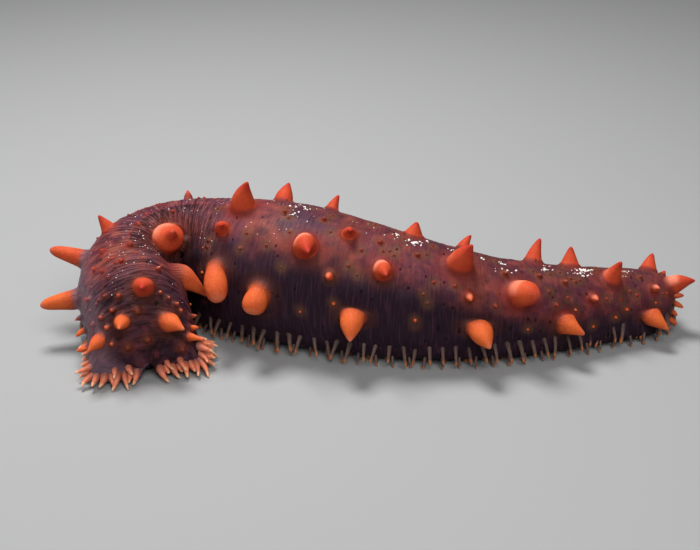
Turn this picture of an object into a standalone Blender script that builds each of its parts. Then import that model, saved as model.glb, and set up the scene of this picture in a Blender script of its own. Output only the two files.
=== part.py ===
"""A giant red sea cucumber at rest, life size: its body in seven lengths, and its tentacles.

Metres, +Z up. The body lies along a midline drawn on the floor, from the mouth, which is
bent round to one side, to the tail. The skin is worked out from the distance along that
midline and the angle round the body, where 0 is the top and plus is the side that the bent
front end turns to. Papillae, tube feet and the fringe round the mouth are fused into the
length of body that they grow from.
"""
import math
import random

import bmesh
import bpy
import numpy as np
from mathutils import Vector

# Midline on the floor, mouth to tail: x, y and half the body's thickness.
ROUTE = (
    (-0.0930, -0.0465, 0.0245),
    (-0.0955, -0.0380, 0.0245),
    (-0.0988, -0.0290, 0.0245),
    (-0.1024, -0.0185, 0.0250),
    (-0.1052, -0.0070, 0.0262),
    (-0.1038, 0.0050, 0.0275),
    (-0.0972, 0.0142, 0.0285),
    (-0.0865, 0.0195, 0.0295),
    (-0.0730, 0.0200, 0.0300),
    (-0.0570, 0.0155, 0.0310),
    (-0.0400, 0.0090, 0.0320),
    (-0.0200, 0.0010, 0.0325),
    (0.0080, -0.0080, 0.0305),
    (0.0360, -0.0140, 0.0275),
    (0.0640, -0.0150, 0.0240),
    (0.0920, -0.0110, 0.0205),
    (0.1180, -0.0040, 0.0175),
    (0.1400, 0.0015, 0.0150),
    (0.1600, 0.0070, 0.0125),
)
# The point of the route's own axes that lies under the middle of the finished model.
MIDDLE_X = 0.0097
MIDDLE_Y = -0.0002

# Section of the body.
SOLE_Z = 0.003              # the skin's underside above the floor
SOLE_DEPTH = 0.88           # lower half's height over the half thickness
SOLE_SQUARENESS = 2.6       # 2 is round
BEND_SQUEEZE = 0.36         # how much narrower the inner side is in the tightest bend
SQUEEZE_POWER = 1.5

# The two ends.
FRONT_TAPER = 0.030         # length over which the mouth end closes
FRONT_BLUNTNESS = 6.0       # seen from above
FRONT_SLOPE = 2.3           # seen from the side
FRONT_DIP = 2.6             # how late the mouth end's centre dips to the nose
NOSE_Z = 0.008
TAIL_TAPER = 0.015
TAIL_SLOPE = 2.2

# The collar, where the mouth end spreads over the floor.
FLARE = 0.005
FLARE_TOP = 0.018
FLARE_FOOT = 0.005
FLARE_LENGTH = 0.026
FLARE_EASE = 2.2
FLARE_INNER = 0.006         # no spread nearer to the midline than this
FLARE_FULL = 0.020

# Where the body is parted, as distances along the midline.
LENGTHS = (
    ("mouth_end", 0.0, 0.0475),
    ("bend_length", 0.0475, 0.0910),
    ("shoulder_length", 0.0910, 0.1430),
    ("fore_length", 0.1430, 0.1922),
    ("middle_length", 0.1922, 0.2347),
    ("hind_length", 0.2347, 0.2850),
    ("tail_end", 0.2850, None),
)
GAP = 0.0003
RING_STEP = 0.0066
SIDES = 26
END_STEPS = (0.00015, 0.0008, 0.0022, 0.0045, 0.0080, 0.0125, 0.0180, 0.0245, 0.0310, 0.0375, 0.0425)
TAIL_STEPS = (0.00015, 0.0008, 0.0022, 0.0045, 0.0080, 0.0125, 0.0180)
TAIL_RINGS = 5

# Papilla sizes: length and base radius.
HANGING = (0.0200, 0.0056)
GREAT = (0.0185, 0.0049)
GREAT_BENT = (0.0150, 0.0050)
BROAD = (0.0152, 0.0060)
LARGE = (0.0122, 0.0047)
SHORT = (0.0085, 0.0036)
SMALL = (0.0052, 0.0025)
BUD = (0.0032, 0.0017)
ROOT_SPREAD = 1.12
ROOT_DEPTH = 0.62           # over the base radius
ROOT_LEAST = 0.0008
ROOT_MOST = 0.0042
KNEE = 0.42                 # where along its length a papilla starts to lean
# Outline of a papilla above its root: share of its length, and of its base radius.
PROFILES = {
    "large": ((0.20, 0.93), (0.50, 0.70), (0.82, 0.35), (1.0, 0.0)),
    "small": ((0.55, 0.58), (1.0, 0.0)),
    "bud": ((1.0, 0.0),),
}

# Papillae that the photographed side shows: distance along, angle in degrees, size, lean
# towards the tail and droop, both as a share of the papilla's own direction.
PAPILLAE = (
    (0.0045, 30, LARGE, -0.30, 0.44),
    (0.0055, -24, SHORT, -0.27, 0.17),
    (0.0050, -62, SHORT, -0.42, 0.60),
    (0.0125, 6, LARGE, -0.28, -0.26),
    (0.0280, 72, GREAT_BENT, -0.60, 1.20),
    (0.0395, -92, GREAT, 0.00, 0.10),
    (0.0500, -74, GREAT, -0.10, 0.00),
    (0.0525, -32, SHORT, 0.00, 0.00),
    (0.0655, 44, BROAD, -0.06, -0.24),
    (0.0820, -42, SMALL, 0.00, 0.00),
    (0.1080, 73, HANGING, 1.00, 1.10),
    (0.1075, 36, SMALL, 0.70, 0.50),
    (0.1135, 8, BROAD, 0.33, -0.05),
    (0.1230, -42, LARGE, 0.10, 0.00),
    (0.1350, 82, BROAD, 0.05, 0.85),
    (0.1500, -36, SHORT, 0.15, 0.00),
    (0.1515, 40, BROAD, 0.45, 0.57),
    (0.1685, 16, SMALL, 0.30, 1.00),
    (0.1755, 90, BROAD, 0.10, 0.48),
    (0.1860, 46, LARGE, 0.22, 0.42),
    (0.1975, -16, SHORT, 0.00, 0.00),
    (0.2175, 22, BROAD, 0.14, 0.00),
    (0.2210, -38, SHORT, 0.30, 0.00),
    (0.2215, 58, SMALL, 0.00, 0.40),
    (0.2255, 90, BROAD, 0.20, 0.25),
    (0.2435, 48, BROAD, 0.44, 0.30),
    (0.2570, -26, LARGE, 0.20, 0.00),
    (0.2645, 90, LARGE, 0.45, 0.09),
    (0.2755, -22, LARGE, 0.00, 0.00),
    (0.2785, 56, SMALL, 0.00, 0.30),
    (0.2945, 22, LARGE, 0.02, 0.00),
    (0.3105, 92, LARGE, 0.20, 0.10),
    (0.3125, 44, SMALL, 0.00, 0.30),
    (0.3160, -36, LARGE, 0.10, 0.00),
    (0.3245, 30, LARGE, 0.30, 0.20),
    (0.3255, -40, SMALL, 0.00, 0.00),
    (0.3250, 95, SMALL, 0.60, 0.20),
    (0.3240, 116, SMALL, 0.60, 0.20),
)
# Buds on the photographed side: distance along and angle.
BUDS = (
    (0.0085, -30), (0.0125, -20), (0.0125, 28), (0.0095, 44), (0.0205, -60), (0.0020, 2), (0.0015, 62),
    (0.1205, 50), (0.1335, 44), (0.1525, 92), (0.1645, 60), (0.1675, 84), (0.2005, 88), (0.2035, 60),
    (0.2165, 48), (0.2375, 24), (0.2465, 92), (0.2605, 64), (0.2695, 72), (0.2905, 92), (0.2965, 78),
)

# The far flank carries a row of its own, which the species has on both sides.
FAR_ROW_START = 0.074
FAR_ROW_END = 0.312
FAR_ROW_STEP = 0.0272
FAR_ROW_ANGLE = -89
FAR_ROW_BROAD_TO = 0.23
FAR_BUD_START = 0.018
FAR_BUD_ANGLES = (-66, -112, -52)
FAR_BUD_CREST = -60         # above this angle only buds grow
FAR_BUD_STEP = 0.0165
FAR_SCATTER = 5
FAR_LEAN = (0.1, 0.4)
BUD_LEAN = (0.1, 0.1)
STEP_VARIATION = (0.90, 1.10)
SIZE_VARIATION = (0.96, 1.04)
NEIGHBOUR_CLEARANCE = 0.0045
USUAL_HALF = 0.026
CUT_CLEARANCE = 0.0009      # between a papilla's base and a cut

# Tube feet round the margin, and the fringe that they turn into at the mouth.
MARGIN_Z = 0.0085
MARGIN_SAMPLES = 500
MARGIN_CROWDING = 1.6       # samples crowd towards the nose
MARGIN_TAIL = 0.0025        # the margin passes this far ahead of the tail's pole
FOOT_SPACING = 0.0066
TUBE_FOOT = (0.0090, 0.00105, 0.42)     # length, radius, share of the length that reaches out
FOOT_CLEARANCE = 0.0036     # between the middle of a foot and a cut
FOOT_PROFILE = (1.35, 0.90, 0.35)   # radius at the root, the knee and the tip
FOOT_ROOT = 2.2             # depth of the root over the foot's radius
FOOT_ROOT_RISE = 0.6
FOOT_KNEE = (0.70, 0.35)    # shares of the reach and of the drop
FOOT_TIP_Z = 0.0004
FRINGE_BACK = 0.036         # the fringe reaches this far from the nose
FRINGE = (0.0112, 0.00155, 0.80)
CREASE = (0.044, 0.096)     # inside the bend the feet are too crowded to show
FRINGE_TIER_BACK = 0.027
FRINGE_TIER_Z = 0.0125
FRINGE_TIER_SPACING = 0.0080
FRINGE_TIER = (0.0088, 0.0022)
FRINGE_TIER_DROOP = (0.20, 0.60)
FRINGE_TIER_WAIST = 0.62    # radius half way along over the base radius
FOOT_VARIATION = (0.94, 1.10)
SPREAD_VARIATION = (0.75, 1.10)

# Tube feet under the sole.
SOLE_ROWS = (-0.45, 0.0, 0.45)
SOLE_FOOT_STEP = 0.0175
SOLE_FOOT_RADIUS = 0.0017
SOLE_FOOT_SPREAD = 1.2      # root radius over tip radius
SOLE_FOOT_START = 0.033
SOLE_FOOT_END_MARGIN = 0.014
SOLE_FOOT_ROOT_Z = 0.0075

# The mouth: a pit in the sole of the mouth end, and the ring of tentacles in it.
MOUTH_ALONG = 0.0172
PIT_TOP_Z = 0.0110
PIT_LOW_Z = -0.002
PIT_SIDES = 24
PIT_RADII = (0.0145, 0.0080)
PIT_FLARE = 1.12            # lower radius over upper radius
DISC_THICKNESS = 0.0026
DISC_CLEARANCE = 0.0008
TENTACLE_COUNT = 20
TENTACLE_RINGS = (0.60, 0.84)           # over the disc's radii
TENTACLE_NECK_Z = 0.0040
TENTACLE_WIDTHS = (0.00085, 0.00070, 0.0014)
TENTACLE_TIP_Z = (0.0006, 0.0018)
ARCH_RADIUS = 0.0036
ARCH_Z = 0.0046
ARCH_X = -0.0925
ARCH_FRONT = -0.060
ARCH_BACK = -0.036
ARCH_MARGIN = 0.0018

SEED = 1835
NEAR = 0.0004               # steps for reading directions off the skin
NEAR_ANGLE = 0.02
NEAR_RIM = 0.002


class Body:
    """The skin, as a function of the distance along the midline and the angle round it."""

    def __init__(self, samples=2000):
        x, y, half = smooth_curve(ROUTE, samples).T
        self.x = x - MIDDLE_X
        self.y = y - MIDDLE_Y
        self.half = half
        steps = np.hypot(np.diff(x), np.diff(y))
        self.run = np.concatenate([[0.0], np.cumsum(steps)])
        self.length = float(self.run[-1])
        heading_x = np.gradient(x, self.run)
        heading_y = np.gradient(y, self.run)
        size = np.hypot(heading_x, heading_y)
        self.heading_x = heading_x / size
        self.heading_y = heading_y / size
        turn = np.unwrap(np.arctan2(self.heading_y, self.heading_x))
        self.curvature = np.gradient(turn, self.run)

    def read(self, along, values):
        """Interpolate one of the midline's tables."""
        return np.interp(along, self.run, values)

    def tangent(self, along):
        """Unit direction of the midline towards the tail."""
        return np.array([self.read(along, self.heading_x), self.read(along, self.heading_y), 0.0])

    def closing(self, along, front_power):
        """Share of full size left where the two ends close."""
        front = np.clip((FRONT_TAPER - along) / FRONT_TAPER, 0, 1)
        tail = np.clip((along - (self.length - TAIL_TAPER)) / TAIL_TAPER, 0, 1)
        front_share = (1 - front ** front_power) ** (1 / front_power)
        tail_share = (1 - tail ** TAIL_SLOPE) ** (1 / TAIL_SLOPE)
        return front_share * tail_share

    def centre_height(self, along):
        """Height of the section's centre."""
        height = SOLE_Z + SOLE_DEPTH * self.read(along, self.half)
        front = np.clip((FRONT_TAPER - along) / FRONT_TAPER, 0, 1)
        return height - front ** FRONT_DIP * (height - NOSE_Z)

    def skin(self, along, angle):
        """Points of the skin at distances along the midline and angles in radians."""
        along, angle = np.broadcast_arrays(np.asarray(along, float), np.asarray(angle, float))
        half = self.read(along, self.half)
        side_x = self.read(along, self.heading_y)
        side_y = -self.read(along, self.heading_x)
        sine = np.sin(angle)
        cosine = np.cos(angle)
        inward = np.where(sine > 0, -1, 1) * self.read(along, self.curvature) * half
        squeeze = 1 - BEND_SQUEEZE * np.clip(inward, 0, 1) ** SQUEEZE_POWER
        width = half * self.closing(along, FRONT_BLUNTNESS) * squeeze
        height = half * self.closing(along, FRONT_SLOPE)
        power = 2 / SOLE_SQUARENESS
        under = cosine < 0
        across = width * np.where(under, np.sign(sine) * np.abs(sine) ** power, sine)
        centre = self.centre_height(along)
        rise = height * np.where(under, -SOLE_DEPTH * np.abs(cosine) ** power, cosine)
        level = np.maximum(centre + rise, SOLE_Z)
        across = across + self.flare(along, across, level)
        x = self.read(along, self.x) + side_x * across
        y = self.read(along, self.y) + side_y * across
        return np.stack([x, y, level], axis=-1)

    def flare(self, along, across, level):
        """Sideways spread of the collar, near the floor at the mouth end."""
        low = smooth_step((FLARE_TOP - level) / (FLARE_TOP - FLARE_FOOT))
        ahead = smooth_step(FLARE_EASE * (FLARE_LENGTH - along) / FLARE_LENGTH)
        outer = np.clip((np.abs(across) - FLARE_INNER) / (FLARE_FULL - FLARE_INNER), 0, 1)
        return np.sign(across) * outer * FLARE * low * ahead

    def angle_at(self, along, level, side):
        """Angle at which the skin is at a level, on the plus or the minus side."""
        height = self.read(along, self.half) * self.closing(along, FRONT_SLOPE)
        offset = (level - self.centre_height(along)) / max(float(height), 1e-5)
        if offset >= 0:
            cosine = min(offset, 1.0)
        else:
            cosine = -min(-offset / SOLE_DEPTH, 1.0) ** (SOLE_SQUARENESS / 2)
        return side * math.acos(cosine)

    def stretch(self, along, angle):
        """How far the skin runs for each metre of midline: more outside a bend, less inside."""
        run = self.skin(along + NEAR, angle) - self.skin(along - NEAR, angle)
        return float(np.linalg.norm(run)) / (2 * NEAR)

    def seat(self, along, angle):
        """A point of the skin with its outward, tailward and downward directions."""
        point = self.skin(along, angle)
        run = self.skin(along + NEAR, angle) - self.skin(along - NEAR, angle)
        turn = self.skin(along, angle + NEAR_ANGLE) - self.skin(along, angle - NEAR_ANGLE)
        outward = np.cross(turn, run)
        outward /= np.linalg.norm(outward)
        if outward @ (point - self.skin(along, angle + math.pi)) < 0:
            outward = -outward
        tailward = run / np.linalg.norm(run)
        downward = np.cross(outward, tailward)
        if math.sin(angle) > 0:
            downward = -downward
        return point, outward, tailward, downward


def smooth_step(value):
    """Ease from 0 to 1."""
    value = np.clip(value, 0, 1)
    return value * value * (3 - 2 * value)


def smooth_curve(controls, samples):
    """Points of a uniform cubic B-spline that runs out to its first and last control."""
    points = np.array(controls, float)
    first = 2 * points[0] - points[1]
    last = 2 * points[-1] - points[-2]
    points = np.vstack([first, points, last])
    spans = len(points) - 3
    place = np.linspace(0, spans, samples)
    index = np.minimum(place.astype(int), spans - 1)
    t = (place - index)[:, None]
    weights = ((1 - t) ** 3, 3 * t ** 3 - 6 * t ** 2 + 4, -3 * t ** 3 + 3 * t ** 2 + 3 * t + 1, t ** 3)
    return sum(weight * points[index + k] for k, weight in enumerate(weights)) / 6


def clear_scene():
    """Remove whatever objects the file opened with."""
    for thing in list(bpy.data.objects):
        bpy.data.objects.remove(thing, do_unlink=True)


def make_material(name, colour, roughness):
    """A plain flesh finish."""
    material = bpy.data.materials.new(name)
    material.use_nodes = True
    shader = material.node_tree.nodes["Principled BSDF"]
    shader.inputs["Base Color"].default_value = (*colour, 1.0)
    shader.inputs["Roughness"].default_value = roughness
    shader.inputs["Metallic"].default_value = 0.0
    material.diffuse_color = (*colour, 1.0)
    return material


def mesh_object(name, mesh, collection):
    """Put a mesh in a collection as a named object."""
    thing = bpy.data.objects.new(name, mesh)
    collection.objects.link(thing)
    return thing


def loft(name, rings, first_pole, last_pole):
    """A closed mesh through rings of points, ended by a flat face or by a pole."""
    mesh = bpy.data.meshes.new(name)
    shape = bmesh.new()
    loops = [[shape.verts.new(Vector(point)) for point in ring] for ring in rings]
    count = len(loops[0])
    for fore, aft in zip(loops, loops[1:]):
        for k in range(count):
            after = (k + 1) % count
            shape.faces.new((fore[k], fore[after], aft[after], aft[k]))
    for loop, pole in ((loops[0], first_pole), (loops[-1], last_pole)):
        if pole is None:
            shape.faces.new(loop)
            continue
        tip = shape.verts.new(Vector(pole))
        for k in range(count):
            shape.faces.new((loop[k], loop[(k + 1) % count], tip))
    bmesh.ops.triangulate(shape, faces=[face for face in shape.faces if len(face.verts) == 4])
    bmesh.ops.recalc_face_normals(shape, faces=shape.faces)
    shape.to_mesh(mesh)
    shape.free()
    return mesh


def tapered_rod(points, radii, sides, collection):
    """A closed rod along a line of points, with its own radius at each of them."""
    line = bpy.data.curves.new("form", "CURVE")
    line.dimensions = "3D"
    line.bevel_depth = max(radii)
    line.bevel_resolution = (sides - 4) // 2
    line.use_fill_caps = True
    spline = line.splines.new("POLY")
    spline.points.add(len(points) - 1)
    for knot, point, radius in zip(spline.points, points, radii):
        knot.co = (*point, 1.0)
        knot.radius = radius / line.bevel_depth
    guide = mesh_object("form", line, collection)
    bpy.context.view_layer.update()
    mesh = bpy.data.meshes.new_from_object(guide.evaluated_get(bpy.context.evaluated_depsgraph_get()))
    bpy.data.objects.remove(guide, do_unlink=True)
    bpy.data.curves.remove(line)
    shape = bmesh.new()
    shape.from_mesh(mesh)
    bmesh.ops.remove_doubles(shape, verts=shape.verts, dist=0.00002)
    bmesh.ops.recalc_face_normals(shape, faces=shape.faces)
    for vertex in shape.verts:
        vertex.co.z = max(vertex.co.z, 0.0)
    shape.to_mesh(mesh)
    shape.free()
    return mesh_object("form", mesh, collection)


def papilla(body, along, angle, size, lean, droop, collection):
    """A pointed fleshy cone, rooted in the skin and bending towards its lean and droop."""
    length, radius = size
    point, outward, tailward, downward = body.seat(along, math.radians(angle))
    aim = outward + lean * tailward + droop * downward
    aim /= np.linalg.norm(aim)
    knee = point + outward * length * KNEE
    tip = point + aim * length
    root = point - outward * min(ROOT_DEPTH * radius + ROOT_LEAST, ROOT_MOST)
    points = [root]
    radii = [radius * ROOT_SPREAD]
    for share, width in PROFILES[size_class(radius)]:
        spot = (1 - share) ** 2 * point + 2 * share * (1 - share) * knee + share ** 2 * tip
        points.append(spot)
        radii.append(radius * width)
    return tapered_rod(points, radii, 8 if radius > SHORT[1] else 6, collection)


def size_class(radius):
    """Which profile a papilla of this base radius takes."""
    if radius > SHORT[1]:
        return "large"
    return "small" if radius > BUD[1] else "bud"


def foot(point, outward, length, radius, spread, collection):
    """A thin tube foot or fringe finger that reaches out and down to the floor."""
    drop = point[2] - FOOT_TIP_Z
    reach = min(spread * length, math.sqrt(max(length ** 2 - drop ** 2, 1e-8)))
    tip = point + outward * reach - np.array([0, 0, drop])
    root = point - outward * FOOT_ROOT * radius + np.array([0, 0, FOOT_ROOT_RISE * radius])
    knee = point + outward * reach * FOOT_KNEE[0] - np.array([0, 0, drop * FOOT_KNEE[1]])
    radii = [radius * share for share in FOOT_PROFILE]
    return tapered_rod([root, knee, tip], radii, 6, collection)


def margin_path(body, level):
    """Distance along and side for points round the whole margin at one level."""
    ends = 0.5 - 0.5 * np.cos(np.linspace(0, math.pi, MARGIN_SAMPLES))
    distances = np.clip(ends ** MARGIN_CROWDING * body.length, 1e-7, body.length - MARGIN_TAIL)
    path = [(float(s), 1) for s in distances] + [(float(s), -1) for s in distances[::-1]]
    points = []
    for along, side in path:
        points.append(body.skin(along, body.angle_at(along, level, side)))
    return path, np.array(points)


def evenly_round(body, level, spacing):
    """Points round the margin at an even spacing, each with its level outward direction."""
    path, points = margin_path(body, level)
    closed = np.vstack([points, points[:1]])
    run = np.concatenate([[0.0], np.cumsum(np.linalg.norm(np.diff(closed, axis=0), axis=1))])
    count = round(run[-1] / spacing)
    for k in range(count):
        place = (k + 0.5) * run[-1] / count
        here, ahead, behind = (
            np.array([np.interp((place + step) % run[-1], run, closed[:, axis]) for axis in range(3)])
            for step in (0.0, NEAR_RIM, -NEAR_RIM)
        )
        flow = ahead - behind
        outward = np.array([flow[1], -flow[0], 0.0])
        outward /= np.linalg.norm(outward)
        index = min(int(np.searchsorted(run, place)), len(path) - 1)
        along, side = path[index]
        yield here, outward, along, side


def length_holding(along):
    """Name of the length of body that a distance falls in."""
    for name, start, end in LENGTHS:
        if end is None or along < end:
            return name
    return LENGTHS[-1][0]


def clear_of_cuts(along, margin):
    """Move a distance along the body away from the nearest cut."""
    for _, start, _ in LENGTHS[1:]:
        if abs(along - start) < margin:
            return start + math.copysign(margin, along - start)
    return along


def plan_papillae(rng):
    """Every papilla: along, angle, size, lean and droop."""
    plan = [list(row) for row in PAPILLAE]
    plan += [[along, angle, BUD, *BUD_LEAN] for along, angle in BUDS]
    along = FAR_ROW_START
    while along < FAR_ROW_END:
        size = BROAD if along < FAR_ROW_BROAD_TO else LARGE
        angle = FAR_ROW_ANGLE + rng.uniform(-FAR_SCATTER, FAR_SCATTER)
        plan.append([along, angle, size, rng.uniform(*FAR_LEAN), rng.uniform(*FAR_LEAN)])
        along += FAR_ROW_STEP * rng.uniform(*STEP_VARIATION)
    along = FAR_BUD_START
    turn = 0
    while along < FAR_ROW_END:
        angle = FAR_BUD_ANGLES[turn % len(FAR_BUD_ANGLES)] + rng.uniform(-FAR_SCATTER, FAR_SCATTER)
        if is_open(along, angle, plan):
            size = rng.choice((SMALL, BUD, SHORT)) if angle < FAR_BUD_CREST else BUD
            plan.append([along, angle, size, *BUD_LEAN])
        turn += 1
        along += FAR_BUD_STEP * rng.uniform(*STEP_VARIATION)
    return plan


def is_open(along, angle, plan):
    """Whether a place on the skin is clear of the papillae planned so far."""
    for row in plan:
        sideways = math.radians(angle - row[1]) * USUAL_HALF
        if math.hypot(along - row[0], sideways) < row[2][1] + NEIGHBOUR_CLEARANCE:
            return False
    return True


def grow_papillae(body, rng, bins):
    """Make the papillae, each in the bin of its length."""
    for along, angle, size, lean, droop in plan_papillae(rng):
        scale = rng.uniform(*SIZE_VARIATION)
        size = (size[0] * scale, size[1])
        margin = (size[1] * ROOT_SPREAD + CUT_CLEARANCE) / body.stretch(along, math.radians(angle))
        along = clear_of_cuts(along, margin)
        papilla(body, along, angle, size, lean, droop, bins[length_holding(along)])


def grow_margin(body, rng, bins):
    """Make the margin's tube feet and the fringe round the mouth."""
    for point, outward, along, side in evenly_round(body, MARGIN_Z, FOOT_SPACING):
        if side > 0 and CREASE[0] < along < CREASE[1]:
            continue
        if near_cut(along, FOOT_CLEARANCE):
            continue
        fringe = along < FRINGE_BACK
        if in_arch(point):
            continue
        length, radius, spread = FRINGE if fringe else TUBE_FOOT
        length *= rng.uniform(*FOOT_VARIATION)
        spread *= rng.uniform(*SPREAD_VARIATION)
        foot(point, outward, length, radius, spread, bins[length_holding(along)])
    for point, outward, along, side in evenly_round(body, FRINGE_TIER_Z, FRINGE_TIER_SPACING):
        if along > FRINGE_TIER_BACK or in_arch(point):
            continue
        length, radius = FRINGE_TIER
        length *= rng.uniform(*SPREAD_VARIATION)
        aim = outward - np.array([0, 0, rng.uniform(*FRINGE_TIER_DROOP)])
        points = [point - outward * 2 * radius, point + aim * length * 0.5, point + aim * length]
        radii = [radius * ROOT_SPREAD, radius * FRINGE_TIER_WAIST, 0.0]
        tapered_rod(points, radii, 6, bins[length_holding(along)])


def near_cut(along, margin):
    """Whether a distance along the body is close to a cut."""
    return any(abs(along - start) < margin for _, start, _ in LENGTHS[1:])


def in_arch(point):
    """Whether a point of the rim lies at the small arch under the front lip."""
    beside = abs(point[0] + MIDDLE_X - ARCH_X) < ARCH_RADIUS + ARCH_MARGIN
    return beside and point[1] + MIDDLE_Y < ARCH_BACK


def grow_sole(body, bins):
    """Make the short feet under the sole, each with a flat at floor level."""
    for turn, row in enumerate(SOLE_ROWS):
        along = SOLE_FOOT_START + (0.5 * SOLE_FOOT_STEP if turn == 1 else 0.0)
        while along < body.length - SOLE_FOOT_END_MARGIN:
            across = row * body.read(along, body.half)
            stretch = 1 + body.read(along, body.curvature) * across
            place = clear_of_cuts(along, (SOLE_FOOT_RADIUS * SOLE_FOOT_SPREAD + CUT_CLEARANCE) / stretch)
            x = body.read(place, body.x) + body.read(place, body.heading_y) * across
            y = body.read(place, body.y) - body.read(place, body.heading_x) * across
            points = [np.array([x, y, SOLE_FOOT_ROOT_Z]), np.array([x, y, 0.0])]
            radii = [SOLE_FOOT_RADIUS * SOLE_FOOT_SPREAD, SOLE_FOOT_RADIUS]
            tapered_rod(points, radii, 6, bins[length_holding(place)])
            along += SOLE_FOOT_STEP


def make_length(body, name, start, end, collection):
    """One length of the body, as a loft between its two cuts or its pole."""
    angles = np.linspace(0, 2 * math.pi, SIDES, endpoint=False)
    stop = body.length if end is None else end
    first_pole = last_pole = None
    if start == 0.0:
        inner = list(END_STEPS) + [stop]
        first_pole = body.skin(0.0, 0.0)
    elif end is None:
        tail = [body.length - s for s in reversed(TAIL_STEPS)]
        inner = list(np.linspace(start, tail[0], TAIL_RINGS))[:-1] + tail
        last_pole = body.skin(body.length, 0.0)
    else:
        inner = list(np.linspace(start, stop, round((stop - start) / RING_STEP) + 1))
    rings = [body.skin(s, angles) for s in inner]
    if first_pole is None:
        rings[0] = rings[0] + body.tangent(start) * GAP / 2
    if last_pole is None:
        rings[-1] = rings[-1] - body.tangent(stop) * GAP / 2
    return mesh_object(name, loft(name, rings, first_pole, last_pole), collection)


def apply_boolean(thing, operation, cutters, solver="EXACT"):
    """Join a collection to an object, or cut it away, and remove the collection's objects."""
    change = thing.modifiers.new("fuse", "BOOLEAN")
    change.operation = operation
    change.operand_type = "COLLECTION"
    change.collection = cutters
    change.solver = solver
    bpy.context.view_layer.update()
    result = bpy.data.meshes.new_from_object(thing.evaluated_get(bpy.context.evaluated_depsgraph_get()))
    thing.modifiers.clear()
    thing.data = result
    for piece in list(cutters.objects):
        bpy.data.objects.remove(piece, do_unlink=True)


def keep_largest_surface(mesh):
    """Drop every closed surface but the one with the most area."""
    shape = bmesh.new()
    shape.from_mesh(mesh)
    bmesh.ops.remove_doubles(shape, verts=shape.verts, dist=0.000001)
    waiting = set(shape.faces)
    islands = []
    while waiting:
        seed = waiting.pop()
        island = [seed]
        stack = [seed]
        while stack:
            face = stack.pop()
            for edge in face.edges:
                for other in edge.link_faces:
                    if other in waiting:
                        waiting.remove(other)
                        island.append(other)
                        stack.append(other)
        islands.append(island)
    islands.sort(key=lambda island: sum(face.calc_area() for face in island))
    for island in islands[:-1]:
        bmesh.ops.delete(shape, geom=island, context="FACES")
    loose = [vertex for vertex in shape.verts if not vertex.link_faces]
    bmesh.ops.delete(shape, geom=loose, context="VERTS")
    shape.to_mesh(mesh)
    shape.free()


def elliptic_frustum(name, centre, radii, flare, low, high, collection):
    """An upright oval block, wider below by the flare, with its long axis along X."""
    mesh = bpy.data.meshes.new(name)
    shape = bmesh.new()
    depth = high - low
    bmesh.ops.create_cone(shape, cap_ends=True, segments=PIT_SIDES, radius1=flare, radius2=1.0, depth=depth)
    for vertex in shape.verts:
        vertex.co.x *= radii[0]
        vertex.co.y *= radii[1]
        vertex.co += Vector((centre[0], centre[1], (low + high) / 2))
    shape.to_mesh(mesh)
    shape.free()
    return mesh_object(name, mesh, collection)


def mouth_centre(body):
    """Middle of the mouth on the floor."""
    return (body.read(MOUTH_ALONG, body.x), body.read(MOUTH_ALONG, body.y))


def cut_mouth(body, mouth_end, cutters):
    """Open the pit under the mouth end, and the small arch in its front rim."""
    elliptic_frustum("pit", mouth_centre(body), PIT_RADII, PIT_FLARE, PIT_LOW_Z, PIT_TOP_Z, cutters)
    front = ARCH_FRONT - MIDDLE_Y
    back = mouth_centre(body)[1]
    x = ARCH_X - MIDDLE_X
    points = [np.array([x, front, ARCH_Z]), np.array([x, back, ARCH_Z])]
    tapered_rod(points, [ARCH_RADIUS, ARCH_RADIUS], 10, cutters)
    apply_boolean(mouth_end, "DIFFERENCE", cutters)


def make_tentacles(body, rng, collection, forms):
    """The disc round the mouth, with its ring of short shield-ended tentacles."""
    centre = mouth_centre(body)
    top = PIT_TOP_Z - GAP
    radii = (PIT_RADII[0] - DISC_CLEARANCE, PIT_RADII[1] - DISC_CLEARANCE)
    disc = elliptic_frustum("tentacles", centre, radii, 1.0, top - DISC_THICKNESS, top, collection)
    for k in range(TENTACLE_COUNT):
        turn = 2 * math.pi * k / TENTACLE_COUNT
        ring = TENTACLE_RINGS[k % 2]
        x = centre[0] + ring * radii[0] * math.cos(turn)
        y = centre[1] + ring * radii[1] * math.sin(turn)
        heights = (top - DISC_THICKNESS / 2, TENTACLE_NECK_Z, rng.uniform(*TENTACLE_TIP_Z))
        points = [np.array([x, y, height]) for height in heights]
        tapered_rod(points, TENTACLE_WIDTHS, 6, forms)
    apply_boolean(disc, "UNION", forms)
    keep_largest_surface(disc.data)
    return disc


def main():
    """Build every node."""
    clear_scene()
    rng = random.Random(SEED)
    model = bpy.data.collections.new("sea_cucumber")
    bpy.context.scene.collection.children.link(model)
    bins = {}
    for name, _, _ in LENGTHS + (("tentacles", 0, 0), ("cutters", 0, 0)):
        bins[name] = bpy.data.collections.new(name + "_forms")
        bpy.context.scene.collection.children.link(bins[name])
    body = Body()
    grow_papillae(body, rng, bins)
    grow_margin(body, rng, bins)
    grow_sole(body, bins)
    flesh = make_material("maroon_flesh", (0.105, 0.020, 0.019), 0.42)
    pale = make_material("pale_flesh", (0.52, 0.33, 0.20), 0.5)
    for name, start, end in LENGTHS:
        piece = make_length(body, name, start, end, model)
        if name == "mouth_end":
            cut_mouth(body, piece, bins["cutters"])
        apply_boolean(piece, "UNION", bins[name])
        keep_largest_surface(piece.data)
        piece.data.materials.clear()
        piece.data.materials.append(flesh)
    tentacles = make_tentacles(body, rng, model, bins["tentacles"])
    tentacles.data.materials.clear()
    tentacles.data.materials.append(pale)
    for piece in model.objects:
        piece.data.shade_smooth()
        piece.data.set_sharp_from_angle(angle=math.radians(35))
    for holder in bins.values():
        bpy.data.collections.remove(holder)


main()
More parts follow.
